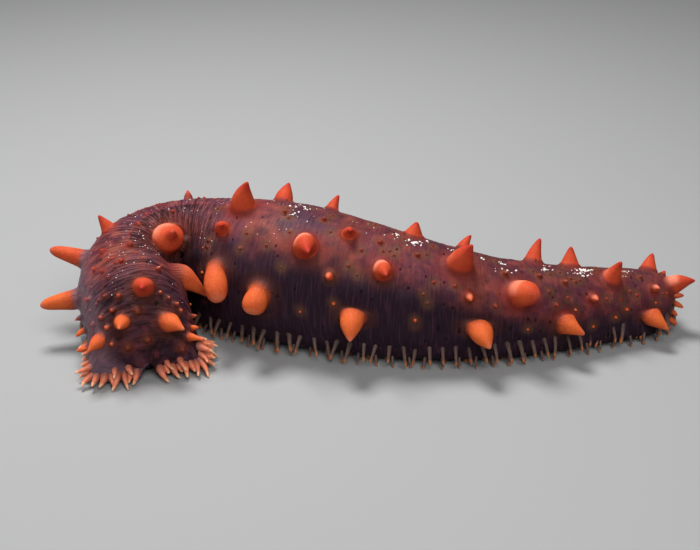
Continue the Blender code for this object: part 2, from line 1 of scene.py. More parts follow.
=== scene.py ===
"""Looks of a life-size red sea cucumber at rest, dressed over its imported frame.

The skin is one closed mesh that follows the animal's midline, from the mouth, which is bent
round towards the viewer, to the tail. Papillae grow out of it with flared roots. Tube feet, the
fringe round the mouth and the tentacles are grown along paths by Geometry Nodes.
Lengths are in metres, +Z is up and the floor is at zero.
"""
import logging
import math
import random
from dataclasses import dataclass, field
from enum import Enum
from typing import Any, Iterable, Iterator, Sequence

import bpy
import numpy as np
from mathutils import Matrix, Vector, noise
from mathutils.bvhtree import BVHTree


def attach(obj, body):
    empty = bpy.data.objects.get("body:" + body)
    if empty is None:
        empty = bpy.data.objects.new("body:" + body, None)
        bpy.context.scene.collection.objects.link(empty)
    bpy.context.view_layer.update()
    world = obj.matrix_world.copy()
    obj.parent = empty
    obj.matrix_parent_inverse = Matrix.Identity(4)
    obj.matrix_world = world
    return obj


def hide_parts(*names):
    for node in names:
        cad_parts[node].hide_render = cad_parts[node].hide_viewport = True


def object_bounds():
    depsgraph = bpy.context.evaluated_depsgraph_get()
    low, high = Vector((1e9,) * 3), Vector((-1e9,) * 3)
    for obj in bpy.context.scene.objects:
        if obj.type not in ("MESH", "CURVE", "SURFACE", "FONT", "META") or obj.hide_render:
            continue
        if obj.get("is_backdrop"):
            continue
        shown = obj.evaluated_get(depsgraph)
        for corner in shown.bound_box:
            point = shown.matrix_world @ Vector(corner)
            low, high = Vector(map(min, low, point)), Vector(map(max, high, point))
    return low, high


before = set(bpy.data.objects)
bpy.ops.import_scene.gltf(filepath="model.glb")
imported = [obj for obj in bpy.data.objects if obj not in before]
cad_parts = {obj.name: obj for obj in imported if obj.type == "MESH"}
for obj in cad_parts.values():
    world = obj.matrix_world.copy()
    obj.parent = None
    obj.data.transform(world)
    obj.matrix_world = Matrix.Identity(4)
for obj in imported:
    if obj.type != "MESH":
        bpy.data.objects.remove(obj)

Array = np.ndarray
Colour = tuple[float, float, float]

LOG = logging.getLogger("sea_cucumber")
BODY_NAME = "root"
FLESH_NODES = (
    "mouth_end",
    "bend_length",
    "shoulder_length",
    "fore_length",
    "middle_length",
    "hind_length",
    "tail_end",
)
UV_NAME = "OFBake"
MOUTH_ALONG = 0.0172  # the mouth's place along the midline
STAIN = 0.0050  # how far the stain round a small papilla reaches
NEAR = 0.0004  # step along the midline for finding directions
NEAR_TURN = 0.02  # step round it, in radians

# Midline on the floor, mouth to tail: x, y and half the body's thickness.
ROUTE = (
    (-0.0930, -0.0465, 0.0245),
    (-0.0955, -0.0380, 0.0245),
    (-0.0988, -0.0290, 0.0245),
    (-0.1024, -0.0185, 0.0250),
    (-0.1052, -0.0070, 0.0262),
    (-0.1038, 0.0050, 0.0275),
    (-0.0972, 0.0142, 0.0285),
    (-0.0865, 0.0195, 0.0295),
    (-0.0730, 0.0200, 0.0300),
    (-0.0570, 0.0155, 0.0310),
    (-0.0400, 0.0090, 0.0320),
    (-0.0200, 0.0010, 0.0325),
    (0.0080, -0.0080, 0.0299),
    (0.0360, -0.0140, 0.0267),
    (0.0640, -0.0150, 0.0229),
    (0.0920, -0.0110, 0.0194),
    (0.1180, -0.0040, 0.0167),
    (0.1400, 0.0015, 0.0150),
    (0.1600, 0.0070, 0.0125),
)
# The point of the route's own axes that lies under the middle of the model.
MIDDLE = (0.0097, -0.0002)


class Size(Enum):
    """Papilla sizes: length and base radius in metres."""

    HANGING = (0.0172, 0.0056)
    GREAT = (0.0185, 0.0049)
    FLARED = (0.0160, 0.0067)
    BROAD = (0.0152, 0.0060)
    LARGE = (0.0122, 0.0047)
    SHORT = (0.0085, 0.0036)
    SMALL = (0.0052, 0.0025)
    WIDE = (0.0104, 0.0078)
    STOUT = (0.0118, 0.0057)
    BARREL = (0.0134, 0.0062)
    HOOKED = (0.0114, 0.0053)
    BLUNT = (0.0108, 0.0051)
    MEDIUM = (0.0094, 0.0046)
    LOW = (0.0066, 0.0047)
    SPUR = (0.0050, 0.0016)
    BUD = (0.0017, 0.0014)
    DOT = (0.0011, 0.0008)
    POINT = (0.0008, 0.0007)
    STUB = (0.0036, 0.0015)
    THORN = (0.0082, 0.0021)
    MOUND = (0.0022, 0.0023)


class Form(Enum):
    """Papilla outlines: share of the base radius at each of SHARES."""

    FINGER = (0.95, 0.91, 0.86, 0.81, 0.75, 0.69, 0.62, 0.54, 0.43, 0.31, 0.17)
    FLARED = (0.95, 0.89, 0.81, 0.72, 0.62, 0.51, 0.41, 0.32, 0.24, 0.17, 0.10)
    CLUB = (0.86, 0.88, 0.92, 0.97, 1.00, 1.01, 0.98, 0.90, 0.77, 0.60, 0.38)
    TUN = (0.97, 0.96, 0.95, 0.93, 0.90, 0.84, 0.74, 0.60, 0.45, 0.30, 0.16)
    EGG = (0.91, 0.91, 0.89, 0.85, 0.78, 0.67, 0.54, 0.40, 0.28, 0.18, 0.09)
    DOME = (0.96, 0.93, 0.87, 0.79, 0.69, 0.57, 0.44, 0.32, 0.23, 0.16, 0.09)
    HAT = (0.97, 0.94, 0.86, 0.68, 0.47, 0.38, 0.32, 0.26, 0.20, 0.15, 0.09)
    PEAK = (0.89, 0.82, 0.74, 0.66, 0.57, 0.48, 0.39, 0.31, 0.235, 0.17, 0.10)


SHARES = (0.19, 0.28, 0.38, 0.48, 0.58, 0.68, 0.77, 0.85, 0.91, 0.955, 0.985)
# Outlines of the sizes that keep one form wherever they stand.
FORMS = {
    Size.HANGING.value: Form.CLUB,
    Size.STOUT.value: Form.CLUB,
    Size.BARREL.value: Form.TUN,
    Size.GREAT.value: Form.FINGER,
    Size.SPUR.value: Form.FINGER,
    Size.FLARED.value: Form.FLARED,
    Size.HOOKED.value: Form.FLARED,
    Size.THORN.value: Form.FLARED,
    Size.WIDE.value: Form.HAT,
    Size.BLUNT.value: Form.DOME,
}


# Papillae of the side that is seen: distance along, angle in degrees, size, lean and droop.
SEEN_PAPILLAE = (
    (0.0045, 30, Size.LARGE, -0.30, 0.44),
    (0.0055, -24, Size.SHORT, -0.27, 0.17),
    (0.0050, -62, Size.SHORT, -0.42, 0.60),
    (0.0125, 6, Size.LARGE, -0.28, -0.26),
    (0.0034, 67, Size.THORN, -0.10, 0.35),
    (0.0086, 68, Size.STUB, 0.00, 0.20),
    (0.0060, 72, Size.STUB, 0.00, 0.30),
    (0.0275, -92, Size.STUB, -0.10, 0.20),
    (0.0217, -96, Size.SPUR, -0.20, 0.40),
    (0.0144, -104, Size.SPUR, -0.20, 0.20),
    (0.0067, -4, Size.MOUND, -0.10, 0.20),
    (0.0018, 3, Size.MOUND, -0.10, 0.20),
    (0.0014, -24, Size.MOUND, -0.10, 0.20),
    (0.0010, 56, Size.MOUND, -0.10, 0.20),
    (0.0285, 66, Size.FLARED, -0.60, 1.80),
    (0.0395, -92, Size.GREAT, 0.00, 0.10),
    (0.0500, -74, Size.GREAT, -0.10, 0.00),
    (0.0525, -32, Size.SHORT, 0.00, 0.00),
    (0.0652, 46, Size.WIDE, 0.20, -0.16),
    (0.0815, -36, Size.SMALL, 0.00, 0.00),
    (0.1100, 73, Size.HANGING, 0.74, 1.30),
    (0.1087, 36, Size.SHORT, 0.40, 0.20),
    (0.1135, 8, Size.BROAD, 0.33, -0.05),
    (0.1230, -40, Size.BLUNT, 0.10, 0.00),
    (0.1338, 85, Size.STOUT, 0.00, 0.90),
    (0.1500, -38, Size.SHORT, 0.15, 0.00),
    (0.1515, 40, Size.BROAD, 0.45, 0.57),
    (0.1683, 18, Size.SHORT, 0.20, 0.50),
    (0.1755, 90, Size.BROAD, 0.10, 0.48),
    (0.1860, 46, Size.LARGE, 0.22, 0.42),
    (0.1955, -18, Size.LOW, 0.00, 0.00),
    (0.2175, 22, Size.BROAD, 0.14, 0.00),
    (0.2210, -38, Size.SHORT, 0.30, 0.00),
    (0.1646, 60, Size.SMALL, 0.00, 0.20),
    (0.2215, 58, Size.SMALL, 0.00, 0.40),
    (0.2255, 90, Size.BROAD, 0.20, 0.25),
    (0.2430, 50, Size.BARREL, 0.42, 0.28),
    (0.2570, -27, Size.LARGE, 0.20, 0.00),
    (0.2640, 89, Size.HOOKED, 0.60, 0.22),
    (0.2755, -22, Size.MEDIUM, 0.00, 0.00),
    (0.2785, 56, Size.SMALL, 0.00, 0.30),
    (0.2915, 22, Size.LARGE, 0.02, 0.00),
    (0.3100, 91, Size.HOOKED, 0.42, 0.30),
    (0.3125, 44, Size.SMALL, 0.00, 0.30),
    (0.3188, -34, Size.MEDIUM, 0.10, 0.00),
    (0.3245, 30, Size.LARGE, 0.30, 0.20),
    (0.3255, -40, Size.SMALL, 0.00, 0.00),
    (0.3254, 58, Size.SPUR, 0.60, 0.10),
    (0.3252, 80, Size.SPUR, 0.45, 0.50),
    (0.3242, 95, Size.STUB, 0.50, 0.80),
    (0.3225, 108, Size.SPUR, 0.40, 0.60),
    (0.3203, 118, Size.STUB, 0.30, 0.60),
)
# Small buds of that side: distance along and angle in degrees.
SEEN_BUDS = (
    (0.0093, -48), (0.0089, -32), (0.0118, -21), (0.0111, 24), (0.0100, 33), (0.0089, 42),
    (0.0107, -66), (0.0060, -44), (0.0027, -44), (0.0199, -60), (0.0206, 27), (0.0257, -32), (0.0261, -10),
    (0.0378, -27), (0.0370, 2), (0.0539, 4), (0.0747, 14), (0.0078, 48), (0.0144, -37), (0.0305, -40),
    (0.1211, 51), (0.1339, 45), (0.1354, 8), (0.1547, 7), (0.1525, 92), (0.1672, 83), (0.1825, 17),
    (0.1993, 21), (0.2005, 88), (0.2034, 61), (0.2158, 48), (0.2326, 66), (0.2381, 24), (0.2468, 92),
    (0.2542, 22), (0.2600, 64), (0.2662, 30), (0.2691, 72), (0.2790, 96), (0.2907, 90), (0.2966, 78),
    (0.3079, 18),
)


def smooth_step(value: Any) -> Any:
    """Ease from 0 to 1.

    Args:
        value: A number or array, which is clipped to the range from 0 to 1.

    Returns:
        The eased value.
    """
    value = np.clip(value, 0, 1)
    return value * value * (3 - 2 * value)


def smooth_curve(controls: Sequence[Sequence[float]], samples: int) -> Array:
    """Points of a uniform cubic B-spline that runs out to its first and last control.

    Args:
        controls: Rows of control values.
        samples: How many points to give.

    Returns:
        One row for each point.
    """
    points = np.array(controls, float)
    points = np.vstack([2 * points[0] - points[1], points, 2 * points[-1] - points[-2]])
    spans = len(points) - 3
    place = np.linspace(0, spans, samples)
    index = np.minimum(place.astype(int), spans - 1)
    t = (place - index)[:, None]
    weights = ((1 - t) ** 3, 3 * t ** 3 - 6 * t ** 2 + 4, -3 * t ** 3 + 3 * t ** 2 + 3 * t + 1, t ** 3)
    return sum(weight * points[index + k] for k, weight in enumerate(weights)) / 6


@dataclass
class Body:
    """The skin's form: a point for each distance along the midline and angle round it.

    The angle is 0 at the top and grows towards the side that the front end is bent to.
    """

    sole_z: float = 0.003
    sole_depth: float = 0.88
    sole_squareness: float = 3.2
    bend_squeeze: float = 0.36
    squeeze_power: float = 1.5
    front_taper: float = 0.030
    front_bluntness: float = 6.0
    front_slope: float = 2.3
    front_dip: float = 2.6
    nose_z: float = 0.008
    tail_taper: float = 0.015
    tail_slope: float = 2.2
    flare: float = 0.005
    flare_top: float = 0.018
    flare_foot: float = 0.005
    flare_length: float = 0.026
    flare_ease: float = 2.2
    flare_inner: float = 0.006
    flare_full: float = 0.020
    sag: float = 0.0022
    sag_height: float = 0.017
    lip: float = 0.0014
    lip_height: float = 0.0105
    lip_length: float = 0.020
    skirt: float = 0.0040
    skirt_height: float = 0.0135
    samples: int = 2000
    near: float = 0.045

    def __post_init__(self) -> None:
        """Work out the midline's tables."""
        x, y, self.half = smooth_curve(ROUTE, self.samples).T
        self.x = x - MIDDLE[0]
        self.y = y - MIDDLE[1]
        self.run = np.concatenate([[0.0], np.cumsum(np.hypot(np.diff(x), np.diff(y)))])
        self.length = float(self.run[-1])
        heading_x = np.gradient(x, self.run)
        heading_y = np.gradient(y, self.run)
        size = np.hypot(heading_x, heading_y)
        self.heading_x = heading_x / size
        self.heading_y = heading_y / size
        turn = np.unwrap(np.arctan2(self.heading_y, self.heading_x))
        self.curvature = np.gradient(turn, self.run)

    def read(self, along: Any, values: Array) -> Any:
        """Interpolate one of the midline's tables."""
        return np.interp(along, self.run, values)

    def closing(self, along: Any, front_power: float) -> Any:
        """Share of full size that is left where the two ends close.

        Args:
            along: Distances along the midline.
            front_power: Bluntness of the mouth end.

        Returns:
            Shares from 0 to 1.
        """
        front = np.clip((self.front_taper - along) / self.front_taper, 0, 1)
        tail = np.clip((along - (self.length - self.tail_taper)) / self.tail_taper, 0, 1)
        front_share = (1 - front ** front_power) ** (1 / front_power)
        return front_share * (1 - tail ** self.tail_slope) ** (1 / self.tail_slope)

    def centre_height(self, along: Any) -> Any:
        """Height of the section's centre."""
        height = self.sole_z + self.sole_depth * self.read(along, self.half)
        front = np.clip((self.front_taper - along) / self.front_taper, 0, 1)
        return height - front ** self.front_dip * (height - self.nose_z)

    def skin(self, along: Any, angle: Any) -> Array:
        """Points of the skin.

        Args:
            along: Distances along the midline.
            angle: Angles in radians, of the same shape.

        Returns:
            Points, in the last axis.
        """
        along, angle = np.broadcast_arrays(np.asarray(along, float), np.asarray(angle, float))
        half = self.read(along, self.half)
        side_x = self.read(along, self.heading_y)
        side_y = -self.read(along, self.heading_x)
        sine = np.sin(angle)
        cosine = np.cos(angle)
        squeeze = 1 - self.bend_squeeze * self.inside_bend(along, sine) ** self.squeeze_power
        width = half * self.closing(along, self.front_bluntness) * squeeze
        height = half * self.closing(along, self.front_slope)
        power = 2 / self.sole_squareness
        under = cosine < 0
        across = width * np.where(under, np.sign(sine) * np.abs(sine) ** power, sine)
        centre = self.centre_height(along)
        rise = height * np.where(under, -self.sole_depth * np.abs(cosine) ** power, cosine)
        level = np.maximum(centre + rise, self.sole_z)
        across = across + self.collar(along, across, level)
        across = across + np.sign(across) * self.skirting(along, across, level)
        lip = self.lip * smooth_step((self.lip_length - along) / self.lip_length)
        lip = lip * (1 - smooth_step((level - self.sole_z) / (self.lip_height - self.sole_z)))
        x = self.read(along, self.x) + side_x * across - self.read(along, self.heading_x) * lip
        y = self.read(along, self.y) + side_y * across - self.read(along, self.heading_y) * lip
        level = level - self.sag * (1 - smooth_step(level / self.sag_height))
        return np.stack([x, y, level], axis=-1)

    def inside_bend(self, along: Any, sine: Any) -> Any:
        """How far inside a bend a point lies, from 0 to about 1."""
        inward = np.where(sine > 0, -1, 1) * self.read(along, self.curvature) * self.read(along, self.half)
        return np.clip(inward, 0, 1)

    def skirting(self, along: Any, across: Any, level: Any) -> Any:
        """How far the edge of the sole spreads over the floor behind the mouth end."""
        low = 1 - smooth_step((level - self.sole_z) / (self.skirt_height - self.sole_z))
        outer = smooth_step((np.abs(across) - 0.25 * self.read(along, self.half)) / 0.008)
        behind = smooth_step((along - 0.026) / 0.014)
        ahead = smooth_step((self.length - 0.002 - along) / 0.020)
        return self.skirt * low * outer * behind * ahead

    def folding(self, along: Any, angle: Any) -> Any:
        """How wrinkled the skin is: most at the bend and the mouth end."""
        bend = smooth_step((0.122 - along) / 0.034)
        inner = self.inside_bend(along, np.sin(angle))
        return np.clip(0.06 + 0.50 * bend + 0.35 * inner, 0, 1)

    def shading(self, along: Any, angle: Any) -> Any:
        """How pale the skin is, as painted light and shade: pale on the lit back and dark on the flanks
        (partly the animal's own darker flanks, partly painted shade), with painted light over the bend and
        painted shade on the face, inside the bend, at the tail end and along the crest.
        """
        front = smooth_step((0.090 - along) / 0.045)
        facing = smooth_step((np.cos(angle) - 0.2) / 0.5)
        # Painted shade over the front of the face.
        face = smooth_step((0.030 - along) / 0.020) * facing
        rear = smooth_step((along - 0.185) / 0.075)
        # Paler on the back, darker on the flanks: painted light from above, partly the skin's own darker
        # flanks.
        pale = smooth_step((np.cos(angle) - 0.40 + 0.58 * rear) / 0.55)
        # Painted light: the bend and the mouth end are paler all round.
        pale = pale + 0.45 * front * smooth_step((np.cos(angle) + 0.8) / 1.2)
        # Painted shade at the tail end.
        tail = smooth_step((along - self.length + 0.010) / 0.007) * smooth_step((angle - 0.5) / 0.4)
        # Painted shade inside the bend.
        inner = smooth_step(self.inside_bend(along, np.sin(angle)) / 0.8)
        # Painted shade along the crest, under the key light.
        crest = smooth_step((np.cos(angle) - 0.78 + 0.22 * rear) / 0.20) * smooth_step((along - 0.105) / 0.03)
        shade = np.clip(pale, 0, 1) * (1 - 0.85 * face) * (1 - 0.9 * tail)
        return shade * (1 - 0.55 * inner) * (1 - 0.38 * crest)

    def collar(self, along: Any, across: Any, level: Any) -> Any:
        """Sideways spread near the floor at the mouth end."""
        low = smooth_step((self.flare_top - level) / (self.flare_top - self.flare_foot))
        ahead = smooth_step(self.flare_ease * (self.flare_length - along) / self.flare_length)
        outer = np.clip((np.abs(across) - self.flare_inner) / (self.flare_full - self.flare_inner), 0, 1)
        return np.sign(across) * outer * self.flare * low * ahead

    def angle_at(self, along: float, level: float, side: int) -> float:
        """Angle at which the skin is at a level, on the plus or the minus side."""
        height = self.read(along, self.half) * self.closing(along, self.front_slope)
        offset = (level - self.centre_height(along)) / max(float(height), 1e-5)
        power = self.sole_squareness / 2
        cosine = min(offset, 1.0) if offset >= 0 else -min(-offset / self.sole_depth, 1.0) ** power
        return side * math.acos(cosine)

    def seat(self, along: float, angle: float) -> tuple[Array, Array, Array, Array]:
        """A point of the skin with its directions.

        Args:
            along: Distance along the midline.
            angle: Angle in radians.

        Returns:
            The point, and its outward, tailward and downward directions.
        """
        point = self.skin(along, angle)
        run = self.skin(along + NEAR, angle) - self.skin(along - NEAR, angle)
        turn = self.turning(along, angle)
        outward = np.cross(turn, run)
        outward /= np.linalg.norm(outward)
        if outward @ (point - self.skin(along, angle + math.pi)) < 0:
            outward = -outward
        tailward = run / np.linalg.norm(run)
        downward = np.cross(outward, tailward) * (-1 if math.sin(angle) > 0 else 1)
        return point, outward, tailward, downward

    def stretch(self, along: float, angle: float) -> tuple[Array, Array]:
        """How far places near a point lie from it, measured over the skin.

        Args:
            along: The point's distance along the midline.
            angle: Its angle in radians.

        Returns:
            Distances along the midline, and the way to each of them over the skin.
        """
        trial = np.clip(np.linspace(along - self.near, along + self.near, 181), 0, self.length)
        points = self.skin(trial, angle)
        run = np.concatenate([[0.0], np.cumsum(np.linalg.norm(np.diff(points, axis=0), axis=1))])
        return trial, run - np.interp(along, trial, run)

    def turning(self, along: float, angle: float) -> Array:
        """The skin's step between two angles close to a point."""
        return self.skin(along, angle + NEAR_TURN) - self.skin(along, angle - NEAR_TURN)

    def turn_scale(self, along: float, angle: float) -> float:
        """Metres of skin for each radian round the body."""
        return float(np.linalg.norm(self.turning(along, angle))) / (2 * NEAR_TURN)

    def ground(self, along: float, across: float = 0.0) -> Array:
        """A point at floor level, a distance across from the midline."""
        x = self.read(along, self.x) + self.read(along, self.heading_y) * across
        y = self.read(along, self.y) - self.read(along, self.heading_x) * across
        return np.array([float(x), float(y), 0.0])


class Wire:
    """A node's output socket, which takes part in sums."""

    def __init__(self, graph: "Graph", socket: Any) -> None:
        """Keep the graph and the socket."""
        self.graph = graph
        self.socket = socket

    def sum(self, operation: str, first: Any, second: Any = 0.0) -> "Wire":
        """Add a Math node.

        Args:
            operation: The node's operation.
            first: Wire or number.
            second: Wire or number.

        Returns:
            The node's result.
        """
        return self.graph.node("ShaderNodeMath", {"operation": operation}, {0: first, 1: second})

    def __add__(self, other: Any) -> "Wire":
        """This plus other."""
        return self.sum("ADD", self, other)

    def __sub__(self, other: Any) -> "Wire":
        """This minus other."""
        return self.sum("SUBTRACT", self, other)

    def __rsub__(self, other: Any) -> "Wire":
        """Other minus this."""
        return self.sum("SUBTRACT", other, self)

    def __mul__(self, other: Any) -> "Wire":
        """This times other."""
        return self.sum("MULTIPLY", self, other)

    def rise(self, low: float, high: float) -> "Wire":
        """A smooth step from 0 at low to 1 at high, or down where low is the greater."""
        settings = {"interpolation_type": "SMOOTHSTEP"}
        sockets = {"Value": self, "From Min": low, "From Max": high}
        return self.graph.node("ShaderNodeMapRange", settings, sockets)


class Graph:
    """A node tree that is written from Python."""

    def __init__(self, tree: Any) -> None:
        """Keep the tree."""
        self.tree = tree

    def node(self, kind: str, settings: dict[str, Any], sockets: dict[Any, Any], out: Any = 0) -> Wire:
        """Add a node.

        Args:
            kind: The node's type.
            settings: Its properties, which are set first; stops sets a ramp's colours.
            sockets: Values or wires for its inputs, by name or number.
            out: Which output to give.

        Returns:
            The chosen output.
        """
        made = self.tree.nodes.new(kind)
        for name, value in settings.items():
            if name == "stops":
                self.set_stops(made.color_ramp, value)
            else:
                setattr(made, name, value)
        for name, value in sockets.items():
            socket = made.inputs[name]
            if isinstance(value, Wire):
                self.tree.links.new(value.socket, socket)
            else:
                socket.default_value = value
        return Wire(self, made.outputs[out])

    def set_stops(self, ramp: Any, stops: Sequence[tuple[float, Colour]]) -> None:
        """Give a colour ramp its stops."""
        while len(ramp.elements) < len(stops):
            ramp.elements.new(1.0)
        for element, (place, colour) in zip(ramp.elements, stops):
            element.position = place
            element.color = (*colour, 1.0)


class Paint(Graph):
    """A material under way."""

    def __init__(self, name: str) -> None:
        """Start a material with a Principled shader."""
        self.material = bpy.data.materials.new(name)
        self.material.use_nodes = True
        super().__init__(self.material.node_tree)
        self.shader = self.tree.nodes["Principled BSDF"]

    def set(self, **values: Any) -> None:
        """Set the shader's sockets, by name with underscores for spaces."""
        for name, value in values.items():
            socket = self.shader.inputs[name.replace("_", " ")]
            if isinstance(value, Wire):
                self.tree.links.new(value.socket, socket)
            else:
                socket.default_value = value

    def place(self) -> Wire:
        """Object coordinates."""
        return self.node("ShaderNodeTexCoord", {}, {}, "Object")

    def number(self, name: str) -> Wire:
        """A number kept on the mesh."""
        return self.node("ShaderNodeAttribute", {"attribute_name": name}, {}, "Fac")

    def vector(self, name: str) -> Wire:
        """A vector kept on the mesh."""
        return self.node("ShaderNodeAttribute", {"attribute_name": name}, {}, "Vector")

    def scaled(self, vector: Wire, factors: Sequence[float]) -> Wire:
        """A vector times three factors."""
        return self.node("ShaderNodeVectorMath", {"operation": "MULTIPLY"}, {0: vector, 1: tuple(factors)})

    def noise(self, vector: Wire, scale: float, detail: float = 3.0, distortion: float = 0.0) -> Wire:
        """Soft noise from 0 to 1."""
        sockets = {"Vector": vector, "Scale": scale, "Detail": detail, "Distortion": distortion}
        return self.node("ShaderNodeTexNoise", {}, sockets, "Fac")

    def axis(self, vector: Wire, name: str) -> Wire:
        """One number of a vector: X, Y or Z."""
        return self.node("ShaderNodeSeparateXYZ", {}, {0: vector}, name)

    def cells(self, vector: Wire, scale: float) -> Wire:
        """Distance to the nearest of many scattered points."""
        sockets = {"Vector": vector, "Scale": scale}
        return self.node("ShaderNodeTexVoronoi", {}, sockets, "Distance")

    def ramp(self, factor: Wire, stops: Sequence[tuple[float, Colour]]) -> Wire:
        """A colour that runs through stops."""
        return self.node("ShaderNodeValToRGB", {"stops": stops}, {"Fac": factor}, "Color")

    def mix(self, factor: Any, first: Any, second: Any) -> Wire:
        """Mix two colours."""
        colours = [(*value, 1.0) if isinstance(value, tuple) else value for value in (first, second)]
        sockets = {0: factor, 6: colours[0], 7: colours[1]}
        return self.node("ShaderNodeMix", {"data_type": "RGBA"}, sockets, 2)

    def bump(self, height: Wire, distance: float, strength: float) -> Wire:
        """A Bump node's normal."""
        return self.node("ShaderNodeBump", {}, {"Height": height, "Distance": distance, "Strength": strength})


class Growth(Graph):
    """A geometry node tree with named inputs."""

    def __init__(self, name: str, inputs: dict[str, str]) -> None:
        """Start a tree.

        Args:
            name: The tree's name.
            inputs: Socket kinds of the inputs, by name.
        """
        super().__init__(bpy.data.node_groups.new(name, "GeometryNodeTree"))
        self.tree.interface.new_socket("Geometry", in_out="INPUT", socket_type="NodeSocketGeometry")
        self.tree.interface.new_socket("Geometry", in_out="OUTPUT", socket_type="NodeSocketGeometry")
        for label, kind in inputs.items():
            self.tree.interface.new_socket(label, in_out="INPUT", socket_type=kind)
        self.source = self.tree.nodes.new("NodeGroupInput")

    def given(self, name: str) -> Wire:
        """One of the tree's inputs."""
        return Wire(self, self.source.outputs[name])

    def attribute(self, name: str, kind: str = "FLOAT") -> Wire:
        """An attribute that the points carry."""
        return self.node("GeometryNodeInputNamedAttribute", {"data_type": kind}, {"Name": name})

    def close(self, geometry: Wire) -> None:
        """Realize the geometry, give it the material and end the tree."""
        real = self.node("GeometryNodeRealizeInstances", {}, {"Geometry": geometry})
        sockets = {"Geometry": real, "Material": self.given("Material")}
        dressed = self.node("GeometryNodeSetMaterial", {}, sockets)
        end = self.tree.nodes.new("NodeGroupOutput")
        self.tree.links.new(dressed.socket, end.inputs[0])

    def grow(self, thing: bpy.types.Object, values: dict[str, Any]) -> bpy.types.Object:
        """Run the tree on an object and keep its result as the object's plain mesh.

        Args:
            thing: Object whose mesh carries the points.
            values: Values of the tree's inputs, by name.

        Returns:
            The same object, without a modifier.
        """
        change = thing.modifiers.new("growth", "NODES")
        change.node_group = self.tree
        items = self.tree.interface.items_tree
        names = {item.name: item.identifier for item in items if item.in_out == "INPUT"}
        for label, value in values.items():
            change[names[label]] = value
        bpy.context.view_layer.update()
        graph = bpy.context.evaluated_depsgraph_get()
        ready = thing.evaluated_get(graph)
        mesh = bpy.data.meshes.new_from_object(ready, preserve_all_data_layers=True, depsgraph=graph)
        thing.modifiers.remove(change)
        thing.data = mesh
        return thing


